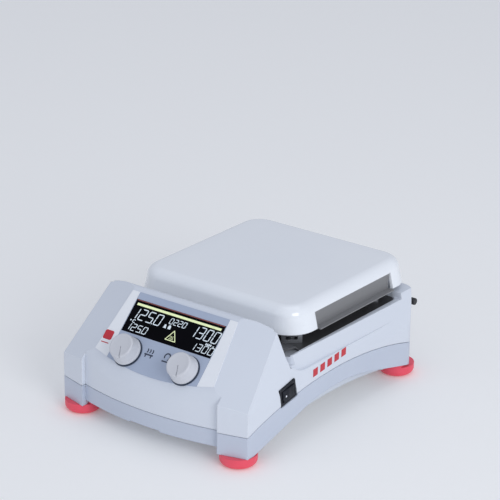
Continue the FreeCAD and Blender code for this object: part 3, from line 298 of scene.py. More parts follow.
@dataclass(frozen=True)
class Coating:
    """Moulded or sprayed finish: slight mottling, fine peel, edges paler from wear and from a
    painted highlight.
    """

    name: str
    colour: Colour
    shade: Colour
    roughness: tuple[float, float] = (0.36, 0.46)
    peel_scale: float = 900.0
    peel: float = 0.10
    edge: float = 0.0006
    wear_and_highlight: float = 0.35
    coat: float = 0.0
    specular: float = 0.5
    mottle_scale: float = 9.0
    smudge_scale: float = 60.0
    relief: float = 0.00008
    coat_roughness: float = 0.12

    def build(self) -> bpy.types.Material:
        """Wires the material."""
        graph = Graph(self.name)
        normal, facing = graph.soft_edges(self.edge)
        broad = graph.noise(self.mottle_scale, 2.0)
        ground = graph.ramp(broad, ((0.30, self.shade), (0.70, self.colour)))
        # Edges are drawn paler: partly rubbed wear, partly a painted highlight along the rounding.
        rubbed_and_lit = tuple(min(1.0, c * (1.0 + EDGE_GAIN * self.wear_and_highlight)) for c in self.colour)
        colour = graph.mix(graph.edge_mask(facing, 0.995, 0.90), ground, rubbed_and_lit)
        fine = graph.noise(self.peel_scale, 2.0)
        graph.dress(colour, graph.span(graph.noise(self.smudge_scale, 4.0), *self.roughness),
                    graph.bump(fine, self.peel, self.relief, normal))
        graph.set(Coat_Weight=self.coat, Coat_Roughness=self.coat_roughness,
                  Specular_IOR_Level=self.specular)
        return graph.material


@dataclass(frozen=True)
class Metal:
    """Bare metal with a drawn or rolled grain, smudges and brighter edges."""

    name: str
    colour: Colour
    shade: Colour
    roughness: tuple[float, float] = (0.26, 0.44)
    grain: tuple[float, float, float] = (1.0, 14.0, 14.0)
    scale: float = 220.0
    depth: float = 0.25
    edge: float = 0.0003
    metallic: float = 1.0
    smudge_scale: float = 28.0
    relief: float = 0.00005

    def build(self) -> bpy.types.Material:
        """Wires the material."""
        graph = Graph(self.name)
        normal, facing = graph.soft_edges(self.edge)
        lines = graph.noise(self.scale, 4.0, self.grain)
        smudge = graph.noise(self.smudge_scale, 3.0)
        ground = graph.ramp(lines, ((0.25, self.shade), (0.75, self.colour)))
        bright = tuple(min(1.0, c * (1.0 + EDGE_GAIN)) for c in self.colour)
        colour = graph.mix(graph.edge_mask(facing, 0.99, 0.85), ground, bright)
        graph.dress(colour, graph.span(smudge, *self.roughness),
                    graph.bump(lines, self.depth, self.relief, normal))
        graph.set(Metallic=self.metallic)
        return graph.material


@dataclass(frozen=True)
class Elastomer:
    """Moulded rubber: matt, fine pores, a slightly dusty bloom."""

    name: str
    colour: Colour
    shade: Colour
    roughness: tuple[float, float] = (0.52, 0.72)
    pores: float = 1800.0
    pore_depth: float = 0.18
    bloom_scale: float = 70.0
    sheen: float = 0.12
    relief: float = 0.00006
    edge: float = 0.0004

    def build(self) -> bpy.types.Material:
        """Wires the material."""
        graph = Graph(self.name)
        normal, _ = graph.soft_edges(self.edge)
        cloud = graph.noise(self.bloom_scale, 4.0)
        colour = graph.ramp(cloud, ((0.30, self.shade), (0.72, self.colour)))
        graph.dress(colour, graph.span(cloud, *self.roughness),
                    graph.bump(graph.noise(self.pores, 2.0), self.pore_depth, self.relief,
                               normal))
        graph.set(Sheen_Weight=self.sheen, Sheen_Roughness=0.5)
        return graph.material


@dataclass(frozen=True)
class Glaze:
    """Fired glass enamel: glossy coat over an even ground with faint fire specks."""

    name: str
    colour: Colour
    shade: Colour
    roughness: tuple[float, float] = (0.10, 0.20)
    wave_scale: float = 14.0
    speck_scale: float = 1400.0
    ripple_scale: float = 160.0
    relief: float = 0.00015
    edge: float = 0.0006
    coat: float = 0.6

    def build(self) -> bpy.types.Material:
        """Wires the material."""
        graph = Graph(self.name)
        normal, _ = graph.soft_edges(self.edge)
        broad = graph.noise(self.wave_scale, 2.0)
        ground = graph.ramp(broad, ((0.25, self.shade), (0.75, self.colour)))
        speck = graph.ramp(graph.noise(self.speck_scale, 1.0), ((0.70, BLACK), (0.80, WHITE)))
        dull = tuple(c * DULL for c in self.shade)
        colour = graph.mix(speck, ground, dull)
        graph.dress(colour, graph.span(graph.noise(40.0, 3.0), *self.roughness),
                    graph.bump(graph.noise(self.ripple_scale, 2.0), 0.05, self.relief, normal))
        graph.set(Coat_Weight=self.coat, Coat_Roughness=0.06)
        return graph.material


@dataclass(frozen=True)
class Film:
    """Printed plastic film or window: even, smooth, with faint handling marks."""

    name: str
    colour: Colour
    shade: Colour
    roughness: tuple[float, float] = (0.10, 0.22)
    texture: float = 0.04
    coat: float = 0.3
    specular: float = 0.5
    mark_scale: float = 45.0
    grain_scale: float = 2200.0
    relief: float = 0.00005
    edge: float = 0.0002

    def build(self) -> bpy.types.Material:
        """Wires the material."""
        graph = Graph(self.name)
        colour = graph.ramp(graph.noise(24.0, 2.0), ((0.3, self.shade), (0.7, self.colour)))
        marks = graph.noise(self.mark_scale, 5.0, (1.0, 0.35, 0.35))
        fine = graph.noise(self.grain_scale, 1.0)
        normal, _ = graph.soft_edges(self.edge)
        graph.dress(colour, graph.span(marks, *self.roughness),
                    graph.bump(fine, self.texture, self.relief, normal))
        graph.set(Coat_Weight=self.coat, Coat_Roughness=0.05, Specular_IOR_Level=self.specular)
        return graph.material


@dataclass(frozen=True)
class Lit:
    """Lit mark of the display: a slightly uneven glow over a dark ground."""

    name: str
    colour: Colour
    strength: float = 1.0
    speck_scale: float = 300.0
    ground: Colour = (0.02, 0.02, 0.025)

    def build(self) -> bpy.types.Material:
        """Wires the material."""
        graph = Graph(self.name)
        dim = tuple(c * DULL for c in self.colour)
        colour = graph.ramp(graph.noise(self.speck_scale, 2.0), ((0.3, dim), (0.6, self.colour)))
        graph.link(colour, graph.shader.inputs["Emission Color"])
        graph.set(Base_Color=self.ground, Emission_Strength=self.strength, Roughness=0.35)
        return graph.material


@dataclass(frozen=True)
class Woven:
    """Felt or braid: crossed fine fibres with fuzz."""

    name: str
    colour: Colour
    shade: Colour
    scale: float = 420.0
    relief: float = 0.0004

    def build(self) -> bpy.types.Material:
        """Wires the material."""
        graph = Graph(self.name)
        first = graph.noise(self.scale, 4.0, (1.0, 6.0, 1.0))
        second = graph.noise(self.scale, 4.0, (6.0, 1.0, 6.0))
        fibres = graph.node("ShaderNodeMath", operation="MAXIMUM")
        graph.link(first, fibres.inputs[0])
        graph.link(second, fibres.inputs[1])
        height = fibres.outputs["Value"]
        colour = graph.ramp(height, ((0.42, self.shade), (0.66, self.colour)))
        graph.dress(colour, graph.span(first, 0.8, 0.95), graph.bump(height, 0.7, self.relief))
        graph.set(Sheen_Weight=0.3)
        return graph.material


@dataclass(frozen=True)
class Laminate:
    """Circuit board: solder mask over copper tracks, with pads."""

    name: str
    colour: Colour
    track: Colour
    pad: Colour = (0.72, 0.70, 0.62)
    track_scale: float = 160.0
    pad_scale: float = 260.0
    relief: float = 0.00006

    def build(self) -> bpy.types.Material:
        """Wires the material."""
        graph = Graph(self.name)
        bricks = graph.node("ShaderNodeTexBrick", offset=0.37, squash=0.6)
        bricks.inputs["Scale"].default_value = self.track_scale
        bricks.inputs["Mortar Size"].default_value = 0.035
        bricks.inputs["Color1"].default_value = (*self.colour, 1.0)
        bricks.inputs["Color2"].default_value = (*self.colour, 1.0)
        bricks.inputs["Mortar"].default_value = (*self.track, 1.0)
        graph.link(graph.coord, bricks.inputs["Vector"])
        cells = graph.node("ShaderNodeTexVoronoi", feature="F1")
        cells.inputs["Scale"].default_value = self.pad_scale
        graph.link(graph.coord, cells.inputs["Vector"])
        dots = graph.ramp(cells.outputs["Distance"], ((0.10, WHITE), (0.14, BLACK)))
        colour = graph.mix(dots, bricks.outputs["Color"], self.pad)
        graph.dress(colour, graph.span(graph.noise(80.0), 0.25, 0.4),
                    graph.bump(bricks.outputs["Fac"], 0.4, self.relief))
        graph.set(Coat_Weight=0.4, Coat_Roughness=0.2)
        return graph.material


FINISHES = {
    # The paler edges of the housing and base paint are partly wear and partly a painted highlight
    # along their rounding.
    "housing_paint": Coating("housing_paint", (0.735, 0.775, 0.845), (0.71, 0.75, 0.825),
                              edge=0.0012, wear_and_highlight=0.8),
    "base_paint": Coating("base_paint", (0.58, 0.63, 0.73), (0.55, 0.60, 0.705),
                          edge=0.0012, wear_and_highlight=0.8),
    "pan_steel": Coating("pan_steel", (0.66, 0.70, 0.76), (0.62, 0.66, 0.73)),
    "foot_rubber": Elastomer("foot_rubber", (0.95, 0.10, 0.155), (0.88, 0.08, 0.125)),
    "zinc_screw": Metal("zinc_screw", (0.62, 0.63, 0.65), (0.42, 0.43, 0.45)),
    "plate_ceramic": Glaze("plate_ceramic", (0.93, 0.955, 0.985), (0.90, 0.93, 0.97)),
    "heater_foil": Metal("heater_foil", (0.45, 0.40, 0.34), (0.30, 0.26, 0.22)),
    "insulation_felt": Woven("insulation_felt", (0.78, 0.72, 0.58), (0.55, 0.49, 0.38)),
    "shield_steel": Metal("shield_steel", (0.27, 0.27, 0.275), (0.23, 0.23, 0.235), (0.50, 0.62),
                          metallic=0.15),
    "bracket_steel": Metal("bracket_steel", (0.34, 0.35, 0.37), (0.22, 0.23, 0.24), (0.35, 0.5)),
    "probe_steel": Metal("probe_steel", (0.60, 0.61, 0.62), (0.45, 0.46, 0.47)),
    "cutout_ceramic": Coating("cutout_ceramic", (0.80, 0.75, 0.64), (0.70, 0.64, 0.52)),
    "overlay_film": Film("overlay_film", (0.455, 0.52, 0.65), (0.43, 0.495, 0.63), (0.42, 0.54),
                         0.10, 0.0, 0.3),
    "strip_film": Film("strip_film", (0.93, 0.95, 0.98), (0.90, 0.925, 0.965), (0.30, 0.42), 0.08,
                       0.1),
    "window_film": Film("window_film", (0.003, 0.003, 0.005), (0.002, 0.002, 0.003), coat=0.0,
                        specular=0.04),
    "inner_plastic": Coating("inner_plastic", (0.05, 0.05, 0.055), (0.035, 0.035, 0.04)),
    "display_glass": Film("display_glass", (0.02, 0.025, 0.03), (0.01, 0.012, 0.015)),
    "circuit_board": Laminate("circuit_board", (0.02, 0.16, 0.06), (0.06, 0.28, 0.11)),
    "motor_steel": Metal("motor_steel", (0.50, 0.51, 0.53), (0.36, 0.37, 0.39),
                         grain=(14.0, 14.0, 1.0)),
    "stator_copper": Metal("stator_copper", (0.72, 0.36, 0.18), (0.48, 0.22, 0.10),
                           grain=(1.0, 1.0, 16.0)),
    "bearing_steel": Metal("bearing_steel", (0.72, 0.73, 0.75), (0.62, 0.63, 0.65), (0.12, 0.2)),
    "carrier_aluminium": Metal("carrier_aluminium", (0.74, 0.75, 0.77), (0.60, 0.61, 0.63)),
    "magnet_nickel": Metal("magnet_nickel", (0.66, 0.65, 0.63), (0.58, 0.57, 0.55), (0.14, 0.24)),
    "mount_rubber": Elastomer("mount_rubber", (0.03, 0.03, 0.032), (0.018, 0.018, 0.02)),
    "standoff_brass": Metal("standoff_brass", (0.78, 0.57, 0.26), (0.60, 0.42, 0.18)),
    "core_steel": Metal("core_steel", (0.24, 0.24, 0.25), (0.14, 0.14, 0.15),
                        grain=(1.0, 1.0, 30.0), depth=0.6),
    "lead_braid": Woven("lead_braid", (0.84, 0.80, 0.70), (0.62, 0.57, 0.46), 900.0),
    "lead_jacket": Elastomer("lead_jacket", (0.05, 0.052, 0.058), (0.035, 0.036, 0.04)),
    "ribbon_grey": Coating("ribbon_grey", (0.38, 0.40, 0.43), (0.30, 0.32, 0.35)),
    "switch_black": Coating("switch_black", (0.012, 0.014, 0.022), (0.008, 0.010, 0.016),
                            (0.34, 0.46), 1500.0, 0.2, 0.0004, 0.4, specular=0.22),
    "inlet_black": Coating("inlet_black", (0.022, 0.022, 0.024), (0.014, 0.014, 0.016),
                           (0.34, 0.5), 1500.0, 0.2, 0.0004, 0.4),
    "pin_nickel": Metal("pin_nickel", (0.76, 0.75, 0.72), (0.66, 0.65, 0.62), (0.14, 0.24)),
    "fuse_glass": Film("fuse_glass", (0.72, 0.75, 0.77), (0.62, 0.66, 0.69)),
    "port_steel": Metal("port_steel", (0.62, 0.63, 0.65), (0.50, 0.51, 0.53)),
    "socket_black": Coating("socket_black", (0.03, 0.03, 0.034), (0.02, 0.02, 0.023),
                            (0.34, 0.5), 1500.0, 0.2, 0.0004, 0.4),
    "holder_zinc": Coating("holder_zinc", (0.60, 0.63, 0.68), (0.55, 0.58, 0.64)),
    "thumb_black": Coating("thumb_black", (0.022, 0.022, 0.025), (0.015, 0.015, 0.017),
                           (0.38, 0.5), 1200.0, 0.2, 0.0004, 0.4),
    "tray_steel": Metal("tray_steel", (0.088, 0.088, 0.092), (0.062, 0.062, 0.065), (0.42, 0.58),
                        metallic=0.45),
    "encoder_metal": Metal("encoder_metal", (0.52, 0.53, 0.55), (0.40, 0.41, 0.43)),
    "knob_plastic": Coating("knob_plastic", (0.66, 0.67, 0.71), (0.63, 0.64, 0.68),
                            (0.30, 0.40), 1400.0, 0.06, 0.0004, 0.5),
}
PRINTS = {
    # Near-black coating for the rings round the knob feet: painted shade of the gap.
    "painted_gap_shade": Coating("painted_gap_shade", (0.06, 0.08, 0.12), (0.04, 0.055, 0.09)),
    "print_grey": Film("print_grey", (0.035, 0.05, 0.09), (0.028, 0.04, 0.07), (0.4, 0.5)),
    "print_red": Film("print_red", (0.66, 0.02, 0.04), (0.58, 0.015, 0.03), (0.3, 0.4)),
    "print_maroon": Film("print_maroon", (0.36, 0.09, 0.08), (0.30, 0.07, 0.06), (0.3, 0.4)),
    "print_white": Film("print_white", (0.86, 0.88, 0.92), (0.80, 0.83, 0.88), (0.3, 0.4)),
    "lit_white": Lit("lit_white", (0.76, 0.88, 1.0), 0.86),
    "lit_yellow": Lit("lit_yellow", (0.86, 0.98, 0.58), 0.9),
}


class Finishing:
    """Builds each material once and hands it out by name."""

    def __init__(self) -> None:
        """Starts with nothing built."""
        self.built: dict[str, bpy.types.Material] = {}
        self.recipes = {**FINISHES, **PRINTS}

    def material(self, slot: str) -> bpy.types.Material:
        """The material of a slot.

        Args:
            slot: name of the finish.

        Returns:
            The built material.
        """
        if slot not in self.built:
            self.built[slot] = self.recipes[slot].build()
        return self.built[slot]

    def apply(self, piece: bpy.types.Object, slot: str) -> None:
        """Gives a piece one material."""
        piece.data.materials.clear()
        piece.data.materials.append(self.material(slot))


SHOP = Finishing()


# ------------------------------------------------------------------ mesh helpers
MERGE = 1e-7
CUT_NEAR = 1e-6


def place(form: bmesh.types.BMesh, matrix: Matrix) -> None:
    """Moves a whole form by a matrix."""
    bmesh.ops.transform(form, matrix=matrix, verts=form.verts)


def add_object(name: str, data: bpy.types.ID) -> bpy.types.Object:
    """Puts a new object into the scene.

    Args:
        name: the object's name.
        data: the mesh, light or camera that it shows.

    Returns:
        The new object.
    """
    made = bpy.data.objects.new(name, data)
    bpy.context.scene.collection.objects.link(made)
    return made


def add_form(name: str, form: bmesh.types.BMesh) -> bpy.types.Object:
    """Turns a form into an object.

    Args:
        name: name of the object and of its mesh.
        form: its shape; it is freed here.

    Returns:
        The new object.
    """
    mesh = bpy.data.meshes.new(name)
    form.to_mesh(mesh)
    form.free()
    return add_object(name, mesh)


def finish_piece(name: str, form: bmesh.types.BMesh, slot: str, body: Body,
                 stands_for: Sequence[str] = (), look: str | None = None,
                 crease: float = 32.0) -> bpy.types.Object:
    """Turns a form into a finished object riding on a body.

    Args:
        name: the piece's name.
        form: its shape; it is freed here.
        slot: the record's material slot it belongs to.
        body: the body it rides on.
        stands_for: model nodes that it replaces.
        look: another finish than the slot's own.
        crease: angle, in degrees, above which an edge is shaded sharp.

    Returns:
        The new object.
    """
    bmesh.ops.remove_doubles(form, verts=form.verts, dist=MERGE)
    bmesh.ops.recalc_face_normals(form, faces=form.faces)
    piece = add_form(name, form)
    piece.data.shade_smooth()
    piece.data.set_sharp_from_angle(angle=math.radians(crease))
    SHOP.apply(piece, look or slot)
    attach(piece, body.value)
    if stands_for:
        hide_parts(*stands_for)
    LOG.info("%s: %d faces", name, len(piece.data.polygons))
    return piece


def lathe(form: bmesh.types.BMesh, outline: Iterable[Point], steps: int) -> None:
    """Spins an outline of (radius, height) points once round Z.

    Args:
        form: the form it is added to.
        outline: the points, from one end to the other.
        steps: number of steps round.
    """
    made = [form.verts.new((radius, 0.0, z)) for radius, z in outline]
    edges = [form.edges.new(pair) for pair in zip(made, made[1:])]
    bmesh.ops.spin(form, geom=made + edges, cent=(0, 0, 0), axis=(0, 0, 1), angle=math.tau,
                   steps=steps, use_merge=True)


def raise_faces(form: bmesh.types.BMesh, faces: Sequence[bmesh.types.BMFace],
                way: Sequence[float]) -> None:
    """Extrudes faces by a vector.

    Args:
        form: the form they belong to.
        faces: the faces that are raised.
        way: how far they move along each axis.
    """
    raised = bmesh.ops.extrude_face_region(form, geom=faces)["geom"]
    verts = [v for v in raised if isinstance(v, bmesh.types.BMVert)]
    bmesh.ops.translate(form, verts=verts, vec=way)


def prism(form: bmesh.types.BMesh, outline: Sequence[Point], low: float, high: float) -> None:
    """Adds a flat outline raised into a prism.

    Args:
        form: the form it is added to.
        outline: (x, y) points in order.
        low: height of the lower face.
        high: height of the upper face.
    """
    base = form.faces.new([form.verts.new((x, y, low)) for x, y in outline])
    raise_faces(form, [base], (0, 0, high - low))


def arc(centre: Point, radius: float, start: float, end: float, count: int) -> list[Point]:
    """Points along an arc.

    Args:
        centre: its centre.
        radius: its radius.
        start: first angle, in degrees.
        end: last angle, in degrees.
        count: number of points.

    Returns:
        The points in order.
    """
    steps = [math.radians(start + (end - start) * i / (count - 1)) for i in range(count)]
    return [(centre[0] + radius * math.cos(a), centre[1] + radius * math.sin(a)) for a in steps]


def disc(centre: Point, radius: float) -> list[Point]:
    """Outline of a small round mark."""
    return arc(centre, radius, 0.0, 330.0, 12)


def rectangle(left: float, low: float, right: float, high: float) -> list[Point]:
    """Outline of an upright rectangle, from its lower left corner."""
    return [(left, low), (right, low), (right, high), (left, high)]


# ------------------------------------------------------------------ sub-assemblies
@dataclass
class ModelNodes:
    """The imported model's own nodes."""

    def dress(self) -> None:
        """Gives every node the finish of its material slot."""
        for part in FRAME["record"]["subparts"]:
            node = FRAME["nodes"][part["node"]]
            SHOP.apply(node, part["material_slot"])
            LOG.info("%s: %s", part["node"], part["material_slot"])


@dataclass
class CeramicTop:
    """Square enamelled top with a rounded edge and a long window in each flank."""

    half: float = 0.089
    centre_y: float = 0.034
    bottom: float = 0.0865
    top: float = 0.1095
    corner: float = 0.0256
    corner_steps: int = 24
    edge: float = 0.010
    edge_steps: int = 14
    rim: float = 0.012
    draft: float = 0.0032
    wall: float = 0.0032
    window_half: float = 0.057
    window_top: float = 0.1008
    flank_depth: float = 0.004
    lip: float = 0.0005
    lip_angle: float = 50.0

    def shell(self) -> bmesh.types.BMesh:
        """Outer skin of the top, open below.

        Returns:
            The form, before its wall is given.
        """
        form = bmesh.new()
        bmesh.ops.create_grid(form, x_segments=1, y_segments=1, size=self.half,
                              matrix=Matrix.Translation((0, self.centre_y, self.bottom)))
        bmesh.ops.bevel(form, geom=form.verts[:], offset=self.corner, affect="VERTICES",
                        segments=self.corner_steps, profile=0.5, material=-1,
                        clamp_overlap=False)
        rise = self.top - self.edge - self.bottom
        self.step(form, self.draft / 2, rise / 2)
        self.step(form, self.draft / 2, rise / 2)
        last = (0.0, 0.0)
        for i in range(1, self.edge_steps + 1):
            turn = math.radians(90.0 * i / self.edge_steps)
            now = (self.edge * (1 - math.cos(turn)), self.edge * math.sin(turn))
            self.step(form, now[0] - last[0], now[1] - last[1])
            last = now
        self.step(form, self.rim, 0.0)
        return form

    def step(self, form: bmesh.types.BMesh, inwards: float, upwards: float) -> None:
        """Moves the cap inwards and upwards, leaving a band of faces behind.

        Args:
            form: the form being raised.
            inwards: how far the outline moves in.
            upwards: how far it moves up.
        """
        form.faces.ensure_lookup_table()
        cap = max(form.faces, key=lambda f: (f.calc_center_median().z, f.calc_area()))
        bmesh.ops.inset_region(form, faces=[cap], thickness=inwards, depth=0.0,
                               use_even_offset=True, use_boundary=True)
        cap = max(form.faces, key=lambda f: (round(f.calc_center_median().z, 6), f.calc_area()))
        bmesh.ops.translate(form, verts=cap.verts, vec=(0, 0, upwards))

    def build(self) -> None:
        """Makes the top with its windows and wall."""
        form = self.shell()
        for side in (-1, 1):
            for point, normal in (((0, self.centre_y + side * self.window_half, 0), (0, 1, 0)),
                                  ((0, 0, self.window_top), (0, 0, 1))):
                bmesh.ops.bisect_plane(form, geom=form.verts[:] + form.edges[:] + form.faces[:],
                                       plane_co=point, plane_no=normal, dist=CUT_NEAR)
        gone = [f for f in form.faces if self.in_window(f.calc_center_median())]
        bmesh.ops.delete(form, geom=gone, context="FACES")
        piece = finish_piece("ceramic_top", form, "plate_ceramic", Body.HOUSING, ("top_plate",))
        wall = piece.modifiers.new("wall", "SOLIDIFY")
        wall.thickness = self.wall
        wall.offset = -1.0
        wall.use_even_offset = True
        soft = piece.modifiers.new("soft", "BEVEL")
        soft.width = self.lip
        soft.segments = 3
        soft.limit_method = "ANGLE"
        soft.angle_limit = math.radians(self.lip_angle)

    def in_window(self, point: Vector) -> bool:
        """Whether a point lies in one of the two flank windows."""
        return (abs(point.y - self.centre_y) < self.window_half and point.z < self.window_top
                and abs(point.x) > self.half - self.draft - self.flank_depth)


@dataclass
class ControlKnob:
    """Round push knob with a rounded shoulder, a dished face and a pointer groove."""

    body: Body
    side: int
    across: float = 0.0308
    up_panel: float = 0.0068
    foot: float = 0.0018
    height: float = 0.0122
    radius: float = 0.0130
    recess: float = 0.004
    lip: float = 0.003
    bend: float = 0.0016
    pointer: float = 22.0
    groove_half: float = 0.00042
    groove_depth: float = 0.0014
    groove_inner: float = 0.0012
    groove_outer: float = 0.0122
    ring_gap: float = 0.0007
    ring_width: float = 0.0042
    ring_low: float = 0.0002
    ring_high: float = 0.0010
    crease: float = 50.0

    def matrix(self) -> Matrix:
        """Place of the knob's axis on the panel, turned so that its pointer leans."""
        spot = Matrix.Translation((self.side * self.across, self.up_panel, 0))
        return PANEL @ spot @ Matrix.Rotation(math.radians(self.pointer), 4, "Z")

    def outline(self) -> list[Point]:
        """Section of the knob, from the hollow underside up to the middle of its face."""
        low, top, wide = self.foot, self.foot + self.height, self.radius
        hollow = [(0.0, low + self.recess), (wide - self.lip, low + self.recess),
                  (wide - self.lip, low + 0.0003)]
        bead = [(wide - 0.0006, low), (wide - 0.0001, low + 0.0004), (wide, low + 0.0010),
                (wide - 0.0001, low + 0.0020), (wide - 0.0005, low + 0.0025),
                (wide - 0.0008, low + 0.0032)]
        flank = [(wide - 0.0013, top - 0.0040), (wide - 0.0017, top - 0.0020)]
        shoulder = arc((wide - 0.0033, top - self.bend), self.bend, 8.0, 84.0, 10)
        rim = [(wide - 0.0035, top - 0.00002), (wide - 0.0040, top - 0.00012),
               (wide - 0.0048, top - 0.00026)]
        dish = [(0.0060, top - 0.00040), (0.0030, top - 0.00048), (0.0, top - 0.0005)]
        return hollow + bead + flank + shoulder + rim + dish

    def build(self) -> None:
        """Makes the knob and a dark ring round its foot, the painted shade of the gap between knob
        and panel.
        """
        form = bmesh.new()
        lathe(form, self.outline(), 96)
        place(form, self.matrix())
        name = self.body.value.split("_")[0]
        knob = finish_piece(f"{name}_push_knob", form, "knob_plastic", self.body,
                            (f"{name}_knob",), crease=self.crease)
        self.groove(knob)
        # Flat dark annulus on the panel: painted shade of the gap round the knob's foot.
        ring = bmesh.new()
        outer = self.radius + self.ring_gap
        inner, low, high = outer - self.ring_width, self.ring_low, self.ring_high
        lathe(ring, [(inner, low), (outer, low), (outer + 0.0001, (low + high) / 2),
                     (outer - 0.0002, high), (inner, high), (inner, low)], 72)
        place(ring, self.matrix())
        finish_piece(f"{name}_gap_shade_ring", ring, "inner_plastic", Body.HOUSING, look="painted_gap_shade")

    def groove(self, knob: bpy.types.Object) -> None:
        """Cuts the pointer groove into the knob's face.

        Args:
            knob: the finished knob.
        """
        top = self.foot + self.height
        half, inner, outer = self.groove_half, self.groove_inner, self.groove_outer
        cutter = bmesh.new()
        prism(cutter, [(-half, -outer), (half, -outer), (half, -inner), (0.0, 0.0004 - inner),
                       (-half, -inner)], top - self.groove_depth, top + 0.001)
        place(cutter, self.matrix())
        bmesh.ops.recalc_face_normals(cutter, faces=cutter.faces)
        tool = add_form("groove_cutter", cutter)
        cut = knob.modifiers.new("groove", "BOOLEAN")
        cut.operation = "DIFFERENCE"
        cut.solver = "EXACT"
        cut.object = tool
        depsgraph = bpy.context.evaluated_depsgraph_get()
        carved = bpy.data.meshes.new_from_object(knob.evaluated_get(depsgraph))
        knob.modifiers.clear()
        spent = (knob.data, tool.data)
        knob.data = carved
        bpy.data.objects.remove(tool)
        for mesh in spent:
            bpy.data.meshes.remove(mesh)
        knob.data.set_sharp_from_angle(angle=math.radians(self.crease))


@dataclass
class PanelMarks:
    """Flat marks laid on one level of the sloping panel."""

    level: float
    ink: float

    def mark(self, form: bmesh.types.BMesh, outline: Sequence[Point]) -> None:
        """Adds one mark."""
        prism(form, outline, self.level, self.level + self.ink)


@dataclass(frozen=True)
class Row:
    """One row of numerals: its lower left corner, their pitch, height and stroke."""

    digits: tuple[Digit, ...]
    corner: Point
    pitch: float
    height: float
    stroke: float
    point_after: int | None = None


HEAT_READING = (Digit.ONE, Digit.TWO, Digit.FIVE, Digit.ZERO)
TIME_READING = (Digit.ZERO, Digit.TWO, Digit.TWO, Digit.ZERO)
STIR_READING = (Digit.ONE, Digit.THREE, Digit.ZERO, Digit.ZERO)
ROWS = (
    Row(HEAT_READING, (-0.0462, 0.0362), 0.0085, 0.0098, 0.00085, 2),
    Row(HEAT_READING, (-0.0455, 0.0254), 0.0060, 0.0062, 0.00065, 2),
    Row(TIME_READING, (-0.0062, 0.0410), 0.0046, 0.0050, 0.0006),
    Row(STIR_READING, (0.0173, 0.0362), 0.0078, 0.0102, 0.00085),
    Row(STIR_READING, (0.0242, 0.0256), 0.0063, 0.0064, 0.00065),
)


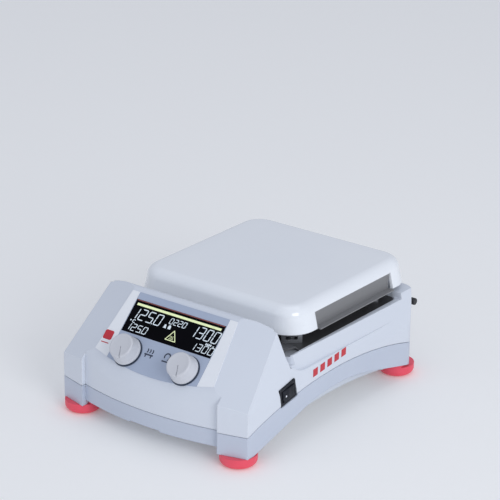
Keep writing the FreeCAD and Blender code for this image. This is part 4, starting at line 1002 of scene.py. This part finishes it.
@dataclass
class Readout(PanelMarks):
    """Lit bar, numerals and symbols behind the display window."""

    level: float = 0.00078
    ink: float = 0.00012
    slant: float = 0.16
    bar_gap: float = 0.12
    digit_share: float = 0.66
    point_place: float = 0.80
    point_size: float = 0.62
    triangle_spot: Point = (0.0030, 0.0302)
    triangle_radius: float = 0.0068
    triangle_stroke: float = 0.0007
    steam_spot: Point = (0.0030, 0.0296)
    steam_size: float = 0.0042

    def numeral(self, form: bmesh.types.BMesh, digit: Digit, corner: Point, width: float,
                height: float, stroke: float) -> None:
        """Adds one seven-bar numeral.

        Args:
            form: the form it is added to.
            digit: which numeral.
            corner: its lower left corner on the panel.
            width: its width.
            height: its height.
            stroke: width of each bar.
        """
        half = height / 2
        gap, tip = stroke * self.bar_gap, stroke / 2
        bars = ((0.0, height, True), (width, half, False), (width, 0.0, False),
                (0.0, 0.0, True), (0.0, 0.0, False), (0.0, half, False), (0.0, half, True))
        for lit, (x, y, level) in zip(digit.value, bars):
            if lit == "0":
                continue
            length = width if level else half
            shape = [(gap, 0.0), (gap + tip, tip), (length - gap - tip, tip), (length - gap, 0.0),
                     (length - gap - tip, -tip), (gap + tip, -tip)]
            if not level:
                shape = [(-b, a) for a, b in shape]
            self.mark(form, [(corner[0] + x + a + (y + b) * self.slant, corner[1] + y + b)
                             for a, b in shape])

    def row(self, form: bmesh.types.BMesh, row: Row) -> None:
        """Adds a row of numerals, with a decimal point if the row has one.

        Args:
            form: the form it is added to.
            row: the row.
        """
        for index, digit in enumerate(row.digits):
            x, y = row.corner[0] + index * row.pitch, row.corner[1]
            self.numeral(form, digit, (x, y), row.pitch * self.digit_share, row.height, row.stroke)
            if index == row.point_after:
                point = (x + row.pitch * self.point_place, y)
                self.mark(form, disc(point, row.stroke * self.point_size))

    def outline_triangle(self, form: bmesh.types.BMesh) -> None:
        """Adds an upright outlined triangle with rounded corners."""
        centre, size = self.triangle_spot, self.triangle_radius
        corners = [(centre[0] + size * math.cos(math.radians(a)),
                    centre[1] + size * math.sin(math.radians(a))) for a in (90, 210, 330)]
        verts = [form.verts.new((x, y, self.level)) for x, y in corners]
        form.faces.new(verts)
        bmesh.ops.bevel(form, geom=verts, offset=size * 0.12, affect="VERTICES", segments=4,
                        profile=0.5, material=-1)
        near = size * 0.3
        face = [f for f in form.faces if abs(f.calc_center_median().x - centre[0]) < near
                and abs(f.calc_center_median().y - centre[1]) < near and len(f.verts) > 8][:1]
        line = bmesh.ops.inset_region(form, faces=face, thickness=self.triangle_stroke,
                                      use_even_offset=True, use_boundary=True)["faces"]
        bmesh.ops.delete(form, geom=face, context="FACES_ONLY")
        raise_faces(form, line, (0, 0, self.ink))

    def steam(self, form: bmesh.types.BMesh) -> None:
        """Adds three short wavy lines over a bar, the sign for a hot surface."""
        centre, size = self.steam_spot, self.steam_size
        spacing, half, tall, sway = size * 0.34, size * 0.045, size * 0.55, size * 0.07
        start = centre[1] - size * 0.12
        for offset in (-1, 0, 1):
            x = centre[0] + offset * spacing
            line = [(x + math.sin(i / 8 * math.tau) * sway, start + tall * i / 8)
                    for i in range(9)]
            self.mark(form, [(a - half, b) for a, b in line]
                      + [(a + half, b) for a, b in line[::-1]])
        low, wide = centre[1] - size * 0.32, size * 0.55
        self.mark(form, rectangle(centre[0] - wide, low, centre[0] + wide, low + size * 0.1))

    def symbols(self, form: bmesh.types.BMesh) -> None:
        """Adds the small signs beside the numerals."""
        bell = [(-0.0100, 0.0362), (-0.0066, 0.0362), (-0.0072, 0.0372), (-0.0074, 0.0390),
                (-0.0083, 0.0397), (-0.0092, 0.0390), (-0.0094, 0.0372)]
        lock = [(-0.0050, 0.0362), (-0.0022, 0.0362), (-0.0022, 0.0382), (-0.0026, 0.0394),
                (-0.0036, 0.0400), (-0.0046, 0.0394), (-0.0050, 0.0382)]
        middle = (-0.0398, 0.0338)
        ring = arc(middle, 0.0017, 40, 320, 12) + arc(middle, 0.0011, 320, 40, 12)
        ticks = [[(x, 0.0327), (x + 0.0011, 0.0327), (x + 0.0013, 0.0345), (x + 0.0002, 0.0345)]
                 for x in (0.0372, 0.0388, 0.0404, 0.0420)]
        arrow = [(0.0444, 0.0330), (0.0460, 0.0340), (0.0460, 0.0325)]
        for outline in (bell, lock, disc((-0.0435, 0.0342), 0.0007), ring, *ticks, arrow):
            self.mark(form, outline)

    def build(self) -> None:
        """Makes the white and the yellow-green marks and the dull rule above them."""
        white = bmesh.new()
        for row in ROWS:
            self.row(white, row)
        self.symbols(white)
        place(white, PANEL)
        finish_piece("readout_numerals", white, "display_glass", Body.HOUSING, look="lit_white")
        yellow = bmesh.new()
        self.mark(yellow, rectangle(-0.0450, 0.0483, 0.0450, 0.0504))
        self.outline_triangle(yellow)
        self.steam(yellow)
        place(yellow, PANEL)
        finish_piece("readout_bar_and_sign", yellow, "display_glass", Body.HOUSING,
                     look="lit_yellow")
        rule = bmesh.new()
        self.mark(rule, rectangle(-0.0470, 0.0526, 0.0470, 0.0533))
        place(rule, PANEL)
        finish_piece("readout_top_rule", rule, "display_glass", Body.HOUSING, look="print_maroon")


@dataclass
class PanelPrints(PanelMarks):
    """Printed marks on the control overlay and the left strip."""

    level: float = 0.00064
    ink: float = 0.00010
    heat_spot: Point = (-0.0100, 0.0112)
    stir_spot: Point = (0.0084, 0.0124)
    tile_spot: Point = (-0.0575, 0.0157)
    tile_reach: Point = (0.0028, 0.0025)
    tile_corner: float = 0.0018

    def sign(self, form: bmesh.types.BMesh, centre: Point, outlines: Sequence[Sequence[Point]]
             ) -> None:
        """Adds a printed sign.

        Args:
            form: the form it is added to.
            centre: its middle on the panel.
            outlines: its shapes about that middle, in millimetres.
        """
        for outline in outlines:
            self.mark(form, [(centre[0] + x * 0.001, centre[1] + y * 0.001) for x, y in outline])

    def heat_sign(self, form: bmesh.types.BMesh) -> None:
        """A hot-plate sign: a bar on two feet under three short bent strokes."""
        plate = rectangle(-4.4, -2.0, 4.4, -0.7)
        feet = [rectangle(x, -3.9, x + 1.1, -2.05) for x in (-3.4, 2.3)]
        strokes = [[(x - 0.55, 0.2), (x + 0.55, 0.2), (x + 1.15, 2.0), (x + 0.45, 3.8),
                    (x - 0.65, 3.8), (x + 0.05, 2.0)] for x in (-2.7, 0.0, 2.7)]
        self.sign(form, self.heat_spot, [plate, *feet, *strokes])

    def stir_sign(self, form: bmesh.types.BMesh) -> None:
        """A stirring sign: an open ring with an arrow head over a short bar."""
        ring = arc((0.0, 0.8), 3.4, -40, 220, 16) + arc((0.0, 0.8), 2.2, 220, -40, 16)
        head = [(0.8, -2.2), (4.2, -2.5), (3.3, 0.6)]
        bar = rectangle(-3.7, -4.4, 3.7, -3.2)
        self.sign(form, self.stir_spot, [ring, head, bar])

    def tile(self) -> None:
        """Plain red tile with rounded corners, and a short line under it, on the left strip."""
        form = bmesh.new()
        (x, y), (wide, tall) = self.tile_spot, self.tile_reach
        outline: list[Point] = []
        for turn, (right, up) in enumerate(((1, 1), (-1, 1), (-1, -1), (1, -1))):
            corner = (x + right * wide, y + up * tall)
            outline += arc(corner, self.tile_corner, 90.0 * turn, 90.0 * (turn + 1), 6)
        self.mark(form, outline)
        self.mark(form, rectangle(-0.0615, 0.0080, -0.0535, 0.0088))
        place(form, PANEL)
        finish_piece("strip_tile", form, "strip_film", Body.HOUSING, look="print_red")

    def build(self) -> None:
        """Makes all the printed marks."""
        form = bmesh.new()
        self.heat_sign(form)
        self.stir_sign(form)
        place(form, PANEL)
        finish_piece("overlay_signs", form, "overlay_film", Body.HOUSING, look="print_grey")
        self.tile()


@dataclass
class RockerSwitch:
    """Rocker cap: hollow across its face, with a raised dot at the end that is pressed for on."""

    centre: tuple[float, float, float] = (0.0948, -0.0778, 0.0496)
    tilt: float = 10.0
    half_width: float = 0.0049
    reach: float = 0.0070
    back: float = -0.0020
    crown: float = 0.0055
    curl: float = 0.0011
    curl_power: float = 1.6
    pressed_fall: float = 0.0021
    raised_fall: float = 0.0011
    face_steps: int = 4
    soft_edge: float = 0.00045
    dot_spot: tuple[float, float, float] = (0.00572, -0.0046, 0.0)
    dot_radius: float = 0.00085
    dot_height: float = 0.00025

    def matrix(self) -> Matrix:
        """Place of the cap: local X out of the flank, Y along the switch, Z across it."""
        x = Vector((1.0, 0.0, 0.0))
        tilt = math.radians(self.tilt)
        y = Vector((0.0, math.cos(tilt), math.sin(tilt)))
        z = x.cross(y)
        basis = Matrix((x, y, z)).transposed().to_4x4()
        return Matrix.Translation(Vector(self.centre)) @ basis

    def face_height(self, along: float) -> float:
        """How far the face stands out at a place along the cap.

        Args:
            along: the place, from -1 at the raised end to 1 at the pressed end.

        Returns:
            The height over the cap's own origin.
        """
        fall = self.pressed_fall if along > 0 else self.raised_fall
        return self.crown + self.curl * abs(along) ** self.curl_power - fall * abs(along)

    def build(self) -> None:
        """Makes the cap and its dot."""
        form = bmesh.new()
        places = [i / self.face_steps for i in range(self.face_steps, -self.face_steps - 1, -1)]
        outline = [(self.back, self.reach), (self.back, -self.reach)]
        outline += [(self.face_height(t), -self.reach * t) for t in places]
        prism(form, outline, -self.half_width, self.half_width)
        sharp = [e for e in form.edges if len(e.link_faces) == 2
                 and e.calc_face_angle(0.0) > math.radians(40)]
        bmesh.ops.bevel(form, geom=sharp, offset=self.soft_edge, affect="EDGES", segments=3,
                        profile=0.5, material=-1)
        place(form, self.matrix())
        finish_piece("rocker_cap", form, "switch_black", Body.ROCKER, ("power_rocker",))
        dot = bmesh.new()
        bmesh.ops.create_circle(dot, cap_ends=True, segments=20, radius=self.dot_radius)
        raise_faces(dot, dot.faces[:], (0, 0, self.dot_height))
        outwards = Matrix.Rotation(math.radians(90), 4, "Y")
        place(dot, self.matrix() @ Matrix.Translation(self.dot_spot) @ outwards)
        finish_piece("rocker_dot", dot, "switch_black", Body.ROCKER, look="print_white")


@dataclass
class FlankDashes:
    """Five plain slanted dashes printed in red on the right flank, above the parting line."""

    count: int = 5
    start_y: float = -0.043
    pitch: float = 0.0105
    low_z: float = 0.0515
    rise: float = 0.0009
    length: float = 0.0068
    height: float = 0.0060
    slant: float = 0.0018
    climb: float = 0.0006
    face_x: float = 0.0995
    lean: float = 0.19
    belt: float = 0.050
    gap: float = 0.00004
    ink: float = 0.0001

    def build(self) -> None:
        """Makes the dashes as thin raised prints on the leaning flank."""
        form = bmesh.new()
        for index in range(self.count):
            y = self.start_y + index * self.pitch
            z = self.low_z + index * self.rise
            corners = [(y, z), (y + self.length, z + self.climb),
                       (y + self.length + self.slant, z + self.climb + self.height),
                       (y + self.slant, z + self.height)]
            face = form.faces.new([form.verts.new((self.flank(b) + self.gap, a, b))
                                   for a, b in corners])
            raise_faces(form, [face], (self.ink, 0, 0))
        finish_piece("flank_dashes", form, "housing_paint", Body.HOUSING, look="print_red")

    def flank(self, z: float) -> float:
        """How far out the right flank stands at a height."""
        return self.face_x - self.lean * max(0.0, z - self.belt)


# ------------------------------------------------------------------ studio
@dataclass(frozen=True)
class Softbox:
    """Large square soft light aimed at the object: where it hangs, its edge, watts and tint."""

    name: str
    spot: tuple[float, float, float]
    size: float
    power: float
    tint: Colour
    aim: tuple[float, float, float] = (0.0, 0.0, 0.06)

    def build(self) -> None:
        """Hangs the light."""
        data = bpy.data.lights.new(self.name, "AREA")
        data.size = self.size
        data.energy = self.power
        data.color = self.tint
        lamp = add_object(self.name, data)
        lamp.location = self.spot
        away = Vector(self.aim) - Vector(self.spot)
        lamp.rotation_euler = away.to_track_quat("-Z", "Y").to_euler()


LIGHTS = (
    Softbox("right_key", (2.0, -0.9, 1.0), 1.1, 17.0, (0.95, 0.97, 1.0)),
    Softbox("top_soft", (0.2, 0.3, 2.3), 1.4, 3.5, (0.92, 0.96, 1.0)),
    Softbox("front_low", (-0.9, -2.2, 0.9), 0.8, 1.2, (0.86, 0.92, 1.0)),
)


@dataclass
class Studio:
    """Floor, sky, soft lights and camera."""

    azimuth: float = 37.069
    elevation: float = 21.177
    roll: float = 0.619
    distance: float = 1.99714
    target: tuple[float, float, float] = (-0.08901, 0.11675, 0.07199)
    lens: float = 153.04
    sensor: float = 36.0
    sight: float = 50.0
    floor_half: float = 6.0
    floor_colour: Colour = (0.94, 0.94, 0.93)
    floor_glow: Colour = (1.0, 0.99, 0.97)
    floor_glow_strength: float = 0.10
    sky: Colour = (0.92, 0.965, 1.08)
    sky_strength: float = 0.54

    def floor(self) -> None:
        """A wide plain pale floor."""
        form = bmesh.new()
        bmesh.ops.create_grid(form, x_segments=2, y_segments=2, size=self.floor_half)
        floor = add_form("floor", form)
        graph = Graph("floor_paper")
        graph.set(Base_Color=self.floor_colour, Roughness=0.9, Emission_Color=self.floor_glow,
                  Emission_Strength=self.floor_glow_strength)
        floor.data.materials.append(graph.material)

    def light(self) -> None:
        """The even sky and the soft lights."""
        world = bpy.data.worlds.new("studio")
        world.use_nodes = True
        background = world.node_tree.nodes["Background"]
        background.inputs["Color"].default_value = (*self.sky, 1.0)
        background.inputs["Strength"].default_value = self.sky_strength
        bpy.context.scene.world = world
        bpy.context.scene.view_settings.view_transform = "Standard"
        for softbox in LIGHTS:
            softbox.build()

    def camera(self) -> None:
        """The main view."""
        az, el = math.radians(self.azimuth), math.radians(self.elevation)
        back = Vector((math.sin(az) * math.cos(el), -math.cos(az) * math.cos(el), math.sin(el)))
        right = (-back).cross(Vector((0, 0, 1))).normalized()
        up = right.cross(-back)
        roll = math.radians(self.roll)
        turned = right * math.cos(roll) + up * math.sin(roll)
        lifted = up * math.cos(roll) - right * math.sin(roll)
        data = bpy.data.cameras.new("main_view")
        data.lens = self.lens
        data.sensor_width = self.sensor
        data.clip_end = self.sight
        eye = add_object("main_view", data)
        basis = Matrix((turned, lifted, back)).transposed().to_4x4()
        eye.matrix_world = Matrix.Translation(Vector(self.target) + back * self.distance) @ basis
        bpy.context.scene.camera = eye

    def build(self) -> None:
        """Sets up the whole studio."""
        self.floor()
        self.light()
        self.camera()


def main() -> None:
    """Builds every sub-assembly in order and the studio round them."""
    logging.basicConfig(level=logging.INFO, format="%(name)s %(message)s")
    ModelNodes().dress()
    CeramicTop().build()
    ControlKnob(Body.LEFT_TURN, -1).build()
    ControlKnob(Body.RIGHT_TURN, 1, pointer=20.0).build()
    Readout().build()
    PanelPrints().build()
    RockerSwitch().build()
    FlankDashes().build()
    Studio().build()


if __name__ == "__main__":
    main()
